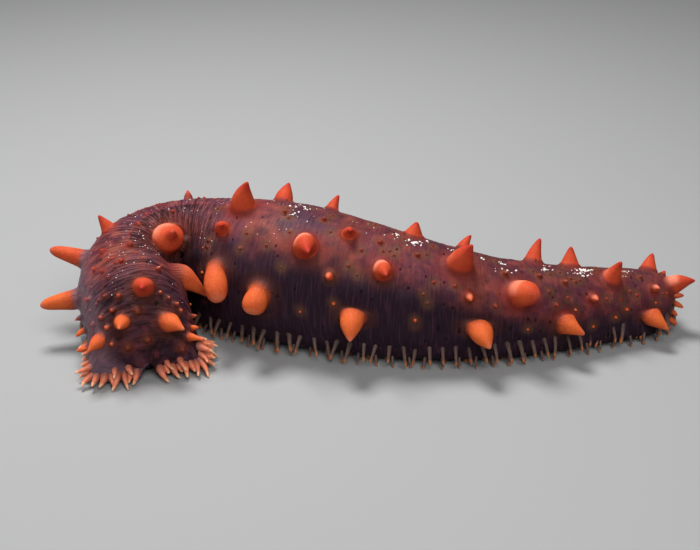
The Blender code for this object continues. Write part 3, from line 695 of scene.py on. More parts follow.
@dataclass(frozen=True)
class FleshFinish:
    """Wet maroon skin that turns into orange-red papillae, with painted light and shade over both."""

    shade: Colour = (0.0200, 0.0090, 0.0165)
    lit: Colour = (0.152, 0.027, 0.035)
    dusk: Colour = (0.086, 0.030, 0.051)
    streak: Colour = (0.215, 0.070, 0.042)
    # Near-black: painted shade in the wrinkle grooves, also the dark blotches of the folds and the rear.
    groove: Colour = (0.0100, 0.0035, 0.0048)
    pit: Colour = (0.0040, 0.0018, 0.0024)
    flush: Colour = (0.200, 0.022, 0.014)
    rust: Colour = (0.210, 0.046, 0.026)
    brown: Colour = (0.105, 0.030, 0.016)
    spot: Colour = (0.100, 0.044, 0.024)
    root: Colour = (0.190, 0.034, 0.018)
    body: Colour = (0.560, 0.100, 0.025)
    grainy: Colour = (0.660, 0.170, 0.050)
    warm: Colour = (0.400, 0.066, 0.022)
    point: Colour = (0.620, 0.170, 0.085)
    # Red of the back's papillae, also painted shade on the lower side of the flank papillae.
    glow: Colour = (0.430, 0.050, 0.019)
    # Painted highlight on the upper rims of the back's papillae.
    rim: Colour = (0.760, 0.240, 0.150)
    blotch: Colour = (0.240, 0.052, 0.036)
    # Painted sheen: a grey-lilac reflection on the left flank of the mouth end.
    painted_sheen: Colour = (0.200, 0.120, 0.160)
    # Dark red of the tips, also painted shade on the lower side of the back's papillae.
    ember: Colour = (0.340, 0.024, 0.014)
    roughness: float = 0.52

    def fleshy(self, paint: Paint, reach: Wire, mottle: Wire, crown: Wire, grain: Wire) -> Wire:
        """Colour of the papillae: orange on the flanks, redder on the back, with painted light: a painted
        highlight on the upper rims of the back's papillae and painted shade on the lower sides.

        Args:
            paint: The material under way.
            reach: Share of a papilla's length.
            mottle: Soft noise.
            crown: 1 on the papillae of the back.
            grain: Fine noise.

        Returns:
            The colour.
        """
        stops = ((0.0, self.root), (0.24, self.warm), (0.50, self.body), (0.86, self.body), (1.0, self.point))
        flank = paint.ramp(reach, stops)
        top = paint.ramp(reach, ((0.0, self.flush), (0.25, self.glow), (0.62, self.glow), (0.90, self.ember)))
        # upper carries painted light: facing up and to the left, towards the light.
        upper = paint.number("upper")
        # Painted shade on the lower side of the flank papillae.
        flank = paint.mix(upper.rise(-0.05, -0.85) * 0.60, flank, self.glow)
        # Painted shade on the lower side of the back's papillae.
        top = paint.mix(upper.rise(0.00, -0.80) * 0.40, top, self.ember)
        # Painted highlight: a pale rim on the upper side near the root.
        top = paint.mix(upper.rise(0.20, 0.85) * reach.rise(0.56, 0.34) * 0.95, top, self.rim)
        flesh = paint.mix(crown, flank, top)
        flesh = paint.mix(mottle.rise(0.40, 0.75) * 0.35, flesh, self.ember)
        flesh = paint.mix(grain.rise(0.46, 0.66) * (1 - crown * 0.6) * 0.25, flesh, self.grainy)
        return paint.mix(grain.rise(0.44, 0.28) * 0.30, flesh, self.warm)

    def paint(self) -> bpy.types.Material:
        """Make the material."""
        paint = Paint("wet_maroon_flesh")
        place = paint.place()
        flow = paint.vector("flow")
        # back: the painted light and shade from Body.shading, 1 where lit.
        back = paint.number("back")
        reach = paint.number("reach")
        fold = paint.number("fold")
        halo = paint.number("halo")
        crown = paint.number("crown")
        mottle = paint.noise(place, 60.0, 5.0)
        patchy = paint.noise(place, 24.0, 2.0)
        fine = paint.noise(place, 1400.0, 2.0)
        along = paint.scaled(flow, (1.0, 0.075, 1.0))
        streak = paint.noise(along, 420.0, 4.0, 0.5)
        thread = paint.noise(along, 1150.0, 3.0, 0.3)
        cloud = paint.noise(place, 170.0, 6.0)
        # Wrinkle grooves and furrows: painted shade in the colour, and also cut into the bump.
        groove = thread.rise(0.50, 0.36) * (fold * 0.80 + 0.10)
        furrow = streak.rise(0.46, 0.34) * fold
        pit = paint.cells(paint.scaled(flow, (1.0, 0.60, 1.0)), 240.0).rise(0.16, 0.07)
        pit = pit * patchy.rise(0.30, 0.44)
        papilla = reach.rise(0.03, 0.24)
        bare = 1 - papilla
        rusty = paint.noise(place, 37.0, 4.0).rise(0.46, 0.62)
        rear = paint.axis(flow, "X").rise(0.16, 0.24)
        colour = paint.mix(patchy.rise(0.35, 0.65) * (1 - rear * 0.65), self.lit, self.dusk)
        # Where the painted shade meets the folds: the face and the bend.
        shaded_folds = (1 - back) * fold.rise(0.30, 0.50)
        blotch = paint.noise(place, 120.0, 3.0).rise(0.50, 0.68)
        dark_blotches = paint.noise(place, 130.0, 5.0, 1.0).rise(0.44, 0.58) * shaded_folds
        rosy = paint.noise(place, 210.0, 4.0).rise(0.56, 0.68) * shaded_folds
        foot = paint.mix(back, self.brown, self.flush)
        # Sheen: the left flank of the mouth end; it sets a real coat, and a painted sheen colour below.
        sheen = paint.axis(flow, "Y").rise(-0.014, -0.032) * paint.axis(flow, "X").rise(0.075, 0.045)
        colour = paint.mix(rusty * 0.65, colour, self.rust)
        # Painted light and shade: the lit colour on the pale back, the shade colour on the flanks.
        colour = paint.mix(back * (mottle * 1.1 + 0.40), self.shade, colour)
        layers = (
            (cloud.rise(0.46, 0.66) * 0.45, self.shade),
            (blotch * back * 0.70, self.blotch),
            (rear * cloud.rise(0.52, 0.40) * 0.40, self.groove),
            # Dark blotches in the painted shade of the folds, and rosy patches of the lit colour.
            (dark_blotches * 0.85, self.groove),
            (rosy * 0.55, self.lit),
            (back * thread.rise(0.50, 0.64) * (fold * 0.85 + 0.06), self.streak),
            ((1 - back) * thread.rise(0.50, 0.66) * 0.32, self.dusk),
            # Painted shade in the furrows and grooves.
            (furrow * 0.75, self.groove),
            (groove * 0.80, self.groove),
            (paint.number("spot") * 0.75, self.spot),
            (halo * halo * (back * 0.25 + 0.60), foot),
            (pit * bare * 0.70, self.pit),
            # Painted sheen on the left flank of the mouth end.
            (sheen * 0.45, self.painted_sheen),
        )
        for factor, tint in layers:
            colour = paint.mix(factor, colour, tint)
        grain = paint.noise(place, 900.0, 3.0)
        flesh = self.fleshy(paint, reach, mottle, crown, grain)
        colour = paint.mix(papilla, colour, flesh)
        lines = (streak * 0.50 + thread * 0.45) * (fold + 0.13) - groove * 0.5 - furrow * 0.6 - pit * 0.5
        height = (lines + cloud * 0.35) * (1 - papilla * 0.92) + grain * papilla * 0.07
        paint.set(
            Base_Color=colour,
            Roughness=mottle * 0.16 + papilla * 0.06 + self.roughness - 0.08,
            Coat_Weight=sheen * bare * 0.30,
            Coat_Roughness=0.38,
            Normal=paint.bump(height + fine * 0.05, 0.0012, 0.8),
            Subsurface_Weight=0.05,
            Subsurface_Radius=(1.0, 0.30, 0.18),
            Subsurface_Scale=0.0020,
            Specular_IOR_Level=0.07,
        )
        return paint.material


@dataclass(frozen=True)
class FingerFinish:
    """Flesh of tube feet, fringe or tentacles, coloured from root to tip."""

    name: str
    root: Colour
    middle: Colour
    tip: Colour
    tip_from: float = 0.85
    roughness: float = 0.48

    def paint(self) -> bpy.types.Material:
        """Make the material."""
        paint = Paint(self.name)
        reach = paint.number("reach")
        mottle = paint.noise(paint.place(), 260.0, 4.0)
        ring = paint.noise(paint.scaled(paint.place(), (1.0, 1.0, 3.0)), 700.0, 2.0)
        factor = reach + (mottle - 0.5) * 0.35
        ends = (self.tip_from - 0.12, self.middle), (self.tip_from, self.tip)
        colour = paint.ramp(factor, ((0.0, self.root), (0.56, self.middle), *ends))
        paint.set(
            Base_Color=colour,
            Roughness=mottle * 0.15 + self.roughness - 0.07,
            Normal=paint.bump(ring, 0.0003, 0.5),
            Subsurface_Weight=0.12,
            Subsurface_Radius=(1.0, 0.35, 0.2),
            Subsurface_Scale=0.002,
        )
        return paint.material


FINGER_FINISHES = (
    FingerFinish(
        "pale_brown_foot", (0.018, 0.008, 0.010), (0.118, 0.064, 0.050), (0.440, 0.140, 0.046), 0.88
    ),
    FingerFinish(
        "salmon_fringe", (0.075, 0.016, 0.018), (0.600, 0.155, 0.072), (0.760, 0.370, 0.200), 0.86
    ),
    FingerFinish("pale_tentacle", (0.30, 0.16, 0.09), (0.52, 0.36, 0.20), (0.66, 0.50, 0.30)),
)


@dataclass(frozen=True)
class GrainAndGlintFinish:
    """Pale mineral grains caught on the slime of the back, and white specks at the bend that are painted
    glints of the wet skin.
    """

    pale: Colour = (0.72, 0.70, 0.68)
    warm: Colour = (0.52, 0.42, 0.34)
    roughness: float = 0.55

    def paint(self) -> bpy.types.Material:
        """Make the material."""
        paint = Paint("pale_grains")
        tone = paint.noise(paint.place(), 500.0, 2.0)
        colour = paint.mix(tone.rise(0.4, 0.65), self.pale, self.warm)
        paint.set(Base_Color=colour, Roughness=tone * 0.2 + self.roughness)
        return paint.material


@dataclass(frozen=True)
class Patch:
    """A rectangle of the UV map."""

    left: float
    low: float
    width: float
    height: float


def cell(index: int, count: int) -> Patch:
    """The index-th square of a UV map that is shared by count pieces."""
    side = math.ceil(math.sqrt(count))
    size = 1.0 / side
    return Patch((index % side + 0.06) * size, (index // side + 0.06) * size, 0.88 * size, 0.88 * size)


@dataclass
class Draft:
    """Points, faces and values of a mesh that is being put together from closed tubes."""

    points: list[Array] = field(default_factory=list)
    faces: list[tuple[int, ...]] = field(default_factory=list)
    corners: list[tuple[float, float]] = field(default_factory=list)
    values: dict[str, list[Array]] = field(default_factory=dict)
    count: int = 0

    def add_tube(self, rings: Array, poles: Array, values: dict[str, Array], patch: Patch) -> None:
        """Add a closed tube.

        Args:
            rings: Points, as rings of equal size.
            poles: The point before the first ring and the one after the last.
            values: For each name, a value for each ring point and then for the two poles.
            patch: Where the tube lies in the UV map.
        """
        rows, sides = rings.shape[:2]
        start = self.count
        first = start + rows * sides
        self.points += [rings.reshape(-1, 3), poles]
        for name, value in values.items():
            self.values.setdefault(name, []).append(value)

        def spot(row: float, side: float) -> tuple[float, float]:
            """UV of a row and side."""
            across = patch.width * side / sides
            return patch.left + across, patch.low + patch.height * (row + 1) / (rows + 1)

        for row in range(rows - 1):
            for side in range(sides):
                after = (side + 1) % sides
                here = start + row * sides
                self.faces.append((here + side, here + after, here + sides + after, here + sides + side))
                self.corners += [spot(row, side), spot(row, side + 1)]
                self.corners += [spot(row + 1, side + 1), spot(row + 1, side)]
        last = start + (rows - 1) * sides
        for side in range(sides):
            after = (side + 1) % sides
            self.faces.append((start + after, start + side, first))
            self.corners += [spot(0, side + 1), spot(0, side), spot(-1, side + 0.5)]
            self.faces.append((last + side, last + after, first + 1))
            self.corners += [spot(rows - 1, side), spot(rows - 1, side + 1), spot(rows, side + 0.5)]
        self.count += rows * sides + 2

    def finish(self, name: str, material: bpy.types.Material) -> bpy.types.Object:
        """Make the object.

        Args:
            name: The object's name.
            material: Its finish.

        Returns:
            The object, at the origin.
        """
        mesh = bpy.data.meshes.new(name)
        mesh.from_pydata(np.concatenate(self.points).tolist(), [], self.faces)
        layer = mesh.uv_layers.new(name=UV_NAME)
        layer.data.foreach_set("uv", np.array(self.corners).ravel())
        for label, parts in self.values.items():
            write_values(mesh, label, np.concatenate(parts))
        mesh.materials.append(material)
        mesh.shade_smooth()
        return add_object(name, mesh)


def write_values(mesh: bpy.types.Mesh, name: str, values: Array) -> None:
    """Keep a number or a vector for each point of a mesh."""
    single = values.ndim == 1
    layer = mesh.attributes.new(name, "FLOAT" if single else "FLOAT_VECTOR", "POINT")
    numbers = np.ascontiguousarray(values, np.float32).ravel()
    layer.data.foreach_set("value" if single else "vector", numbers)


def add_object(name: str, data: Any) -> bpy.types.Object:
    """Link a new object to the scene."""
    thing = bpy.data.objects.new(name, data)
    bpy.context.scene.collection.objects.link(thing)
    return thing


def settle(piece: bpy.types.Object, slot: str, replaced: Sequence[str] = ()) -> None:
    """Hand a piece to the frame.

    Args:
        piece: The finished object.
        slot: The record's material slot; not used.
        replaced: Nodes that the piece stands for.
    """
    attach(piece, BODY_NAME)
    if replaced:
        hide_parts(*replaced)
    LOG.info("%s: %d faces", piece.name, len(piece.data.polygons))


@dataclass
class Papilla:
    """One fleshy cone: where it stands on the skin, its size and its bend."""

    along: float
    angle: float
    length: float
    radius: float
    lean: float
    droop: float


@dataclass(frozen=True)
class Spread:
    """A scatter of small papillae: places to try, the most to add, and where and how large."""

    tries: int
    most: int
    angles: tuple[float, float]
    reach: tuple[float, float]
    sizes: tuple[Size, ...]


@dataclass
class Papillae:
    """All the papillae, listed first and then grown out of the skin."""

    body: Body
    flesh: bpy.types.Material
    seed: int = 1835
    far_start: float = 0.074
    far_end: float = 0.312
    far_step: float = 0.0272
    far_angle: float = -89.0
    usual_half: float = 0.026
    knee: float = 0.42
    flange: tuple[tuple[float, float], ...] = (
        (1.80, -0.012), (1.56, -0.001), (1.36, 0.009), (1.20, 0.030), (1.09, 0.068), (1.02, 0.12),
    )
    small: float = 0.0030
    face_end: float = 0.1
    bud_variety: float = 5000.0
    wobble_variety: float = 900.0
    full_flange: float = 0.0056
    least_scale: float = 0.006
    rooted: float = 0.22
    under_depth: float = 0.0012
    floor_depth: float = 0.0016
    spreads: tuple[Spread, ...] = (
        Spread(900, 46, (-128, -98), (0.050, 0.318), (Size.SMALL, Size.BUD, Size.SHORT, Size.BUD)),
        Spread(400, 24, (-92, -66), (0.060, 0.318), (Size.BUD, Size.POINT)),
        Spread(900, 50, (-20, 72), (0.100, 0.322), (Size.POINT,)),
        Spread(400, 40, (-80, 85), (0.002, 0.110), (Size.POINT,)),
    )

    def plan(self) -> list[Papilla]:
        """List every papilla.

        Returns:
            The papillae, seen ones first.
        """
        rng = random.Random(self.seed)
        rows = [Papilla(a, t, *size.value, lean, droop) for a, t, size, lean, droop in SEEN_PAPILLAE]
        for place, turn in SEEN_BUDS:
            length, radius = (Size.DOT if place > self.face_end and turn > 44 else Size.BUD).value
            scale = rng.uniform(0.75, 1.25)
            length = length * scale * rng.uniform(0.8, 1.3)
            rows.append(Papilla(place, turn, length, radius * scale, 0.2, 0.3))
        along = self.far_start
        while along < self.far_end:
            size = Size.BROAD if along < 0.23 else Size.LARGE
            angle = self.far_angle + rng.uniform(-5, 5)
            lean = rng.uniform(0.1, 0.4)
            rows.append(Papilla(along, angle, *size.value, lean, rng.uniform(0.1, 0.4)))
            along += self.far_step * rng.uniform(0.9, 1.1)
        for spread in self.spreads:
            self.scatter(rows, rng, spread)
        return rows

    def scatter(self, rows: list[Papilla], rng: random.Random, spread: Spread) -> None:
        """Add small papillae wherever there is room.

        Args:
            rows: The list, which grows.
            rng: Source of chance.
            spread: How many, where and how large.
        """
        added = 0
        for _ in range(spread.tries):
            along = rng.uniform(*spread.reach)
            angle = rng.uniform(*spread.angles)
            length, radius = rng.choice(spread.sizes).value
            inside = self.body.inside_bend(along, math.sin(math.radians(angle))) > 0.3
            if added < spread.most and not inside and self.is_open(rows, along, angle, radius):
                scale = rng.uniform(0.75, 1.15)
                rows.append(Papilla(along, angle, length * scale, radius * scale, 0.15, 0.15))
                added += 1

    def is_open(self, rows: Iterable[Papilla], along: float, angle: float, radius: float) -> bool:
        """Whether a place is clear of the papillae listed so far."""
        for row in rows:
            sideways = math.radians(angle - row.angle) * self.usual_half
            if math.hypot(along - row.along, sideways) < 1.5 * (row.radius + radius):
                return False
        return True

    def build(self, rows: Sequence[Papilla]) -> bpy.types.Object:
        """Grow every papilla into one mesh.

        Args:
            rows: The listed papillae.

        Returns:
            The finished object.
        """
        draft = Draft()
        for index, row in enumerate(rows):
            self.grow(draft, row, cell(index, len(rows)))
        return draft.finish("papillae", self.flesh)

    def outline(self, shape: Form, small: bool) -> list[tuple[float, float]]:
        """A papilla's outline, with the flange at its foot.

        Args:
            shape: The papilla's form.
            small: Whether fewer points will do.

        Returns:
            Width over the base radius, and share of the length, from flange to tip.
        """
        rest = list(zip(shape.value, SHARES))
        return list(self.flange[::2]) + rest[::3] + rest[-1:] if small else list(self.flange) + rest

    def crown(self, row: Papilla) -> float:
        """1 for the redder papillae of the back, 0 for the orange ones of the flanks and the face."""
        back = smooth_step((80 - row.angle) / 45) * smooth_step((row.angle + 95) / 40)
        return float(back * smooth_step((row.along - 0.007) / 0.005))

    def stained(self, row: Papilla) -> float:
        """How strong the brown stain round a small papilla is: none on the mouth end."""
        return float(smooth_step((row.along - 0.090) / 0.020)) if row.radius < self.small else 0.0

    def brightness(self, row: Papilla) -> float:
        """How far a small papilla's tip turns orange: least on the back."""
        if (row.length, row.radius) == Size.MOUND.value:
            return 0.15
        if row.along < self.face_end and row.radius < self.small:
            return 0.22 + 0.20 * math.sin(row.along * self.bud_variety) ** 2
        flank = float(smooth_step((row.angle - 48) / 24))
        if row.radius > Size.BUD.value[1] * 1.2:
            return 0.45 + 0.30 * flank
        share = 1.0 if row.radius > Size.POINT.value[1] * 1.2 else 0.60
        return share * (0.14 + 0.02 * flank)

    def form(self, row: Papilla) -> Form:
        """Which outline a papilla has: pointed on the crest, egg-like on the flanks."""
        if (row.length, row.radius) in FORMS:
            return FORMS[(row.length, row.radius)]
        if row.angle > 70:
            return Form.EGG
        rounded = row.angle > 28 or row.along < 0.02 or row.radius >= Size.BROAD.value[1]
        return Form.DOME if rounded or row.radius < self.small else Form.PEAK

    def bend(self, row: Papilla, seat: tuple[Array, Array, Array, Array]) -> tuple[Array, Array]:
        """The point that a papilla bends towards, and its tip.

        Args:
            row: The papilla.
            seat: Its place on the skin, with the outward, tailward and downward directions.

        Returns:
            The knee and the tip.
        """
        point, outward, tailward, downward = seat
        aim = outward + row.lean * tailward + row.droop * downward
        aim /= np.linalg.norm(aim)
        knee = point + outward * row.length * self.knee / (1 + 1.3 * max(row.droop - 0.5, 0.0))
        return knee, point + aim * row.length

    def marks(
        self, row: Papilla, place: Array, reach: Array, upper: Array, distance: Array
    ) -> dict[str, Array]:
        """The values that colour a papilla.

        Args:
            row: The papilla.
            place: For each point, the distance along the midline and the angle round it.
            reach: Share of the length.
            upper: How far the point faces up and to the left, towards the light, for painted light and shade.
            distance: Way from the papilla's middle at the skin.

        Returns:
            The values by name.
        """
        along, bearing = place[:, 0], place[:, 1]
        faded = reach ** 2.0 * self.brightness(row)
        soft = row.radius < self.small and self.form(row) is Form.DOME
        return {
            "flow": np.stack([along, bearing * self.body.read(along, self.body.half), 0 * along], axis=-1),
            "reach": faded if soft else reach,
            # back: painted light and shade, as on the skin.
            "back": self.body.shading(along, bearing),
            "halo": nearness(distance, row.radius),
            "spot": self.stained(row) * smooth_step(1 - distance / STAIN),
            "fold": self.body.folding(along, bearing),
            "upper": upper * smooth_step((row.angle - 8) / 22),
            "crown": np.full(len(reach), self.crown(row)),
        }

    def grow(self, draft: Draft, row: Papilla, patch: Patch) -> None:
        """Grow one papilla: a flange that lies on the skin, rising into a bent cone.

        Args:
            draft: The mesh, which grows.
            row: The papilla.
            patch: Its part of the UV map.
        """
        angle = math.radians(row.angle)
        seat = self.body.seat(row.along, angle)
        point, outward, tailward, _ = seat
        knee, tip = self.bend(row, seat)
        turn_scale = max(self.body.turn_scale(row.along, angle), self.least_scale)
        trial, run = self.body.stretch(row.along, angle)
        ahead = self.body.skin(row.along, angle + 0.05) - point
        sense = 1.0 if ahead @ np.cross(outward, tailward) > 0 else -1.0
        small = row.radius < self.small
        sides = 12 if small else 22
        turns = np.linspace(0, 2 * math.pi, sides, endpoint=False)
        wobble = 1 + 0.06 * np.sin(2 * turns + row.along * self.wobble_variety)
        wobble = wobble + 0.04 * np.sin(3 * turns + row.angle)
        flange = min(1.0, self.full_flange / row.radius)
        rings = []
        reaches = []
        uppers = []
        places = []
        for width, share in self.outline(self.form(row), small):
            width = 1 + (width - 1) * flange if width > 1.01 else width
            radius = width * row.radius * (1 + (wobble - 1) * (1 - share))
            along = np.interp(radius * np.cos(turns), run, trial)
            bearing = angle + sense * radius * np.sin(turns) / turn_scale
            seated = self.body.skin(along, bearing) + outward * share * row.length
            t = max(share, 0.0)
            centre = (1 - t) ** 2 * point + 2 * t * (1 - t) * knee + t ** 2 * tip
            heading = (1 - t) * (knee - point) + t * (tip - knee)
            heading /= np.linalg.norm(heading)
            side_a = tailward - heading * (heading @ tailward)
            side_a /= np.linalg.norm(side_a)
            side_b = np.cross(heading, side_a)
            spoke = np.cos(turns)[:, None] * side_a + np.sin(turns)[:, None] * side_b
            blend = smooth_step(share / self.rooted)
            rings.append((1 - blend) * seated + blend * (centre + radius[:, None] * spoke))
            reaches.append(np.full(sides, t))
            # Facing up and to the left, towards the light, for the papillae's painted light and shade.
            uppers.append(0.85 * spoke[:, 2] - 0.40 * spoke[:, 0])
            places.append(np.stack([along, bearing], axis=-1))
        under = rings[0] * 0.6 + point * 0.4 - outward * min(self.under_depth, row.radius * 0.4)
        stack = np.array([under, *rings])
        floor = point - outward * min(self.floor_depth, row.radius * 0.5)
        poles = np.array([floor, tip])
        reach = np.concatenate([np.zeros(sides), *reaches, [0.0, 1.0]])
        place = np.concatenate([places[0], *places, [[row.along, angle]] * 2])
        upper = np.concatenate([uppers[0], *uppers, np.zeros(2)])
        distance = np.linalg.norm(np.concatenate([stack.reshape(-1, 3), poles]) - point, axis=1)
        draft.add_tube(stack, poles, self.marks(row, place, reach, upper, distance), patch)


def nearness(distance: Any, radius: float) -> Any:
    """1 at a papilla's foot, falling to 0 away from it."""
    return np.clip(1 - (distance - radius) / (1.6 * radius), 0, 1)


@dataclass
class Skin:
    """The one seamless skin over the whole body."""

    body: Body
    flesh: bpy.types.Material
    rings: int = 740
    sides: int = 130
    wrinkle: float = 0.00012
    bend_wrinkle: float = 0.00070
    lump: float = 0.00070
    swing_rate: float = 45.0
    lump_rate: float = 85.0
    wave_rate: float = 560.0
    fine_rate: float = 900.0
    lowest: float = 0.0022
    pit_radii: tuple[float, float] = (0.0145, 0.0080)
    pit_top: float = 0.0110
    arch_x: float = -0.0925
    arch_radius: float = 0.0037
    arch_top: float = 0.0092
    arch_back: float = -0.0405

    def build(self, papillae: Sequence[Papilla]) -> bpy.types.Object:
        """Make the skin's mesh.

        Args:
            papillae: The papillae, round which the skin is smooth and flushed.

        Returns:
            The finished object.
        """
        along = self.spread_rings()
        angles = np.linspace(-math.pi, math.pi, self.sides, endpoint=False)
        grid_along, grid_angle = np.meshgrid(along, angles, indexing="ij")
        points = self.body.skin(grid_along, grid_angle)
        normals = self.normals(points)
        halo, spot = self.halo(papillae, grid_along, grid_angle)
        fold = self.body.folding(grid_along, grid_angle)
        relief = self.relief(grid_along, grid_angle, points, fold) * (1 - smooth_step(halo * 2.2))
        steps = np.linalg.norm(np.gradient(points, axis=0), axis=2)
        relief = relief * np.clip(1.15 * steps / np.median(steps), 0, 1) ** 2
        relief = relief * (1 - 0.80 * self.body.inside_bend(grid_along, np.sin(grid_angle)))
        points = points + normals * relief[..., None]
        points[..., 2] = np.maximum(points[..., 2], self.lowest)
        points = self.open_mouth(points)
        poles = np.array([self.body.skin(0.0, 0.0), self.body.skin(self.body.length, 0.0)])
        half = self.body.read(grid_along, self.body.half)
        flow = np.stack([grid_along, grid_angle * half, 0 * half], axis=-1)
        ends = np.zeros(2)
        none = np.zeros(points.shape[0] * points.shape[1] + 2)
        values = {
            "flow": np.concatenate([flow.reshape(-1, 3), [[0.0, 0.0, 0.0], [self.body.length, 0.0, 0.0]]]),
            "reach": none,
            # back: the painted light and shade of the skin.
            "back": np.concatenate([self.body.shading(grid_along, grid_angle).ravel(), ends + 0.4]),
            "halo": np.concatenate([halo.ravel(), ends]),
            "spot": np.concatenate([spot.ravel(), ends]),
            "upper": none,
            "crown": none,
            "fold": np.concatenate([fold.ravel(), ends + 0.5]),
        }
        draft = Draft()
        draft.add_tube(points, poles, values, Patch(0.01, 0.01, 0.98, 0.98))
        return draft.finish("skin", self.flesh)

    def spread_rings(self) -> Array:
        """Distances of the rings, so that their spacing on the skin is even."""
        taper = 0.03
        front = np.geomspace(1e-12, taper, 900)
        middle = np.linspace(taper, self.body.length - taper, 1500)[1:-1]
        trial = np.concatenate([front, middle, self.body.length - front[::-1]])
        angles = np.linspace(0, 2 * math.pi, 24, endpoint=False)
        points = self.body.skin(trial[:, None], angles[None, :])
        steps = np.linalg.norm(np.diff(points, axis=0), axis=2).max(axis=1)
        run = np.concatenate([[0.0], np.cumsum(steps)])
        return np.interp(np.linspace(0, run[-1], self.rings), run, trial)

    def normals(self, points: Array) -> Array:
        """Outward directions over a grid of skin points."""
        run = np.gradient(points, axis=0)
        turn = np.roll(points, -1, axis=1) - np.roll(points, 1, axis=1)
        outward = np.cross(turn, run)
        size = np.linalg.norm(outward, axis=2, keepdims=True)
        outward = outward / np.maximum(size, 1e-12)
        middle = points.mean(axis=1, keepdims=True)
        wrong = ((points - middle) * outward).sum(axis=2).mean() < 0
        return -outward if wrong else outward

    def halo(self, papillae: Sequence[Papilla], along: Array, angle: Array) -> tuple[Array, Array]:
        """How close each point is to the foot of a papilla, and to the stain round a small one.

        Args:
            papillae: The listed papillae.
            along: Distances of the grid.
            angle: Angles of the grid.

        Returns:
            Both values from 0 to 1.
        """
        halo = np.zeros(along.shape)
        spot = np.zeros(along.shape)
        for row in papillae:
            turn = math.radians(row.angle)
            turn_scale = self.body.turn_scale(row.along, turn)
            trial, run = self.body.stretch(row.along, turn)
            near = np.abs(along - row.along) < 4 * row.radius + 0.008
            offset = (angle[near] - turn + math.pi) % (2 * math.pi) - math.pi
            distance = np.hypot(np.interp(along[near], trial, run), offset * turn_scale)
            halo[near] = np.maximum(halo[near], nearness(distance, row.radius))
            if row.radius < Papillae.small and row.along > Papillae.face_end:
                spot[near] = np.maximum(spot[near], smooth_step(1 - distance / STAIN))
        return halo, spot

    def relief(self, along: Array, angle: Array, points: Array, fold: Array) -> Array:
        """Height of the wrinkles and lumps over the smooth form.

        Args:
            along: Distances of the grid.
            angle: Angles of the grid.
            points: Points of the smooth form.
            fold: How wrinkled each of them is.

        Returns:
            Heights in metres.
        """
        rows, sides = along.shape
        result = np.empty(along.shape)
        for row in range(rows):
            for side in range(sides):
                x, y, z = points[row, side]
                s = along[row, side]
                broad = self.swing_rate
                swing = noise.noise(Vector((x * broad, y * broad, z * broad + 7)))
                close = self.lump_rate
                lumps = noise.noise(Vector((x * close, y * close, z * close)))
                lines = s * self.wave_rate + swing * 3.0
                wave = noise.noise(Vector((lines, angle[row, side] * 1.6, 3.0)))
                fine = noise.noise(Vector((s * self.fine_rate, angle[row, side] * 6.0, 9.0)))
                strength = self.wrinkle + (self.bend_wrinkle - self.wrinkle) * fold[row, side]
                result[row, side] = self.lump * lumps + strength * (wave - 0.35 * abs(fine))
        ends = smooth_step(np.minimum(along / 0.004, (self.body.length - along) / 0.004))
        belly = 0.35 + 0.65 * smooth_step((np.cos(angle) + 0.75) / 0.6)
        return result * ends * belly

    def open_mouth(self, points: Array) -> Array:
        """Press the pit round the mouth, and the small arch in the front lip, into the sole."""
        centre_x, centre_y, _ = self.body.ground(MOUTH_ALONG)
        x, y, z = points[..., 0], points[..., 1], points[..., 2]
        radius = np.hypot((x - centre_x) / self.pit_radii[0], (y - centre_y) / self.pit_radii[1])
        pit = self.pit_top * smooth_step((1.22 - radius) / 0.30)
        beside = (x + MIDDLE[0] - self.arch_x) / self.arch_radius
        inward = smooth_step((self.arch_back - (y + MIDDLE[1])) / 0.0012)
        channel = self.arch_top * np.sqrt(np.clip(1 - beside ** 2, 0, 1)) * inward
        low = z < self.pit_top + 0.001
        lifted = np.where(low, np.maximum(z, np.maximum(pit, channel)), z)
        return np.stack([x, y, lifted], axis=-1)


@dataclass(frozen=True)
class Finger:
    """Sizes of a kind of finger-like outgrowth."""

    length: float
    radius: float
    spread: float
    profile: tuple[float, ...]


@dataclass(frozen=True)
class Tier:
    """One row of the fringe, as far along as until; side is 0 in front and 1 or -1 at the sides."""

    rise: float
    spacing: float
    side: int
    length: float
    radius: float
    fall: float
    until: float


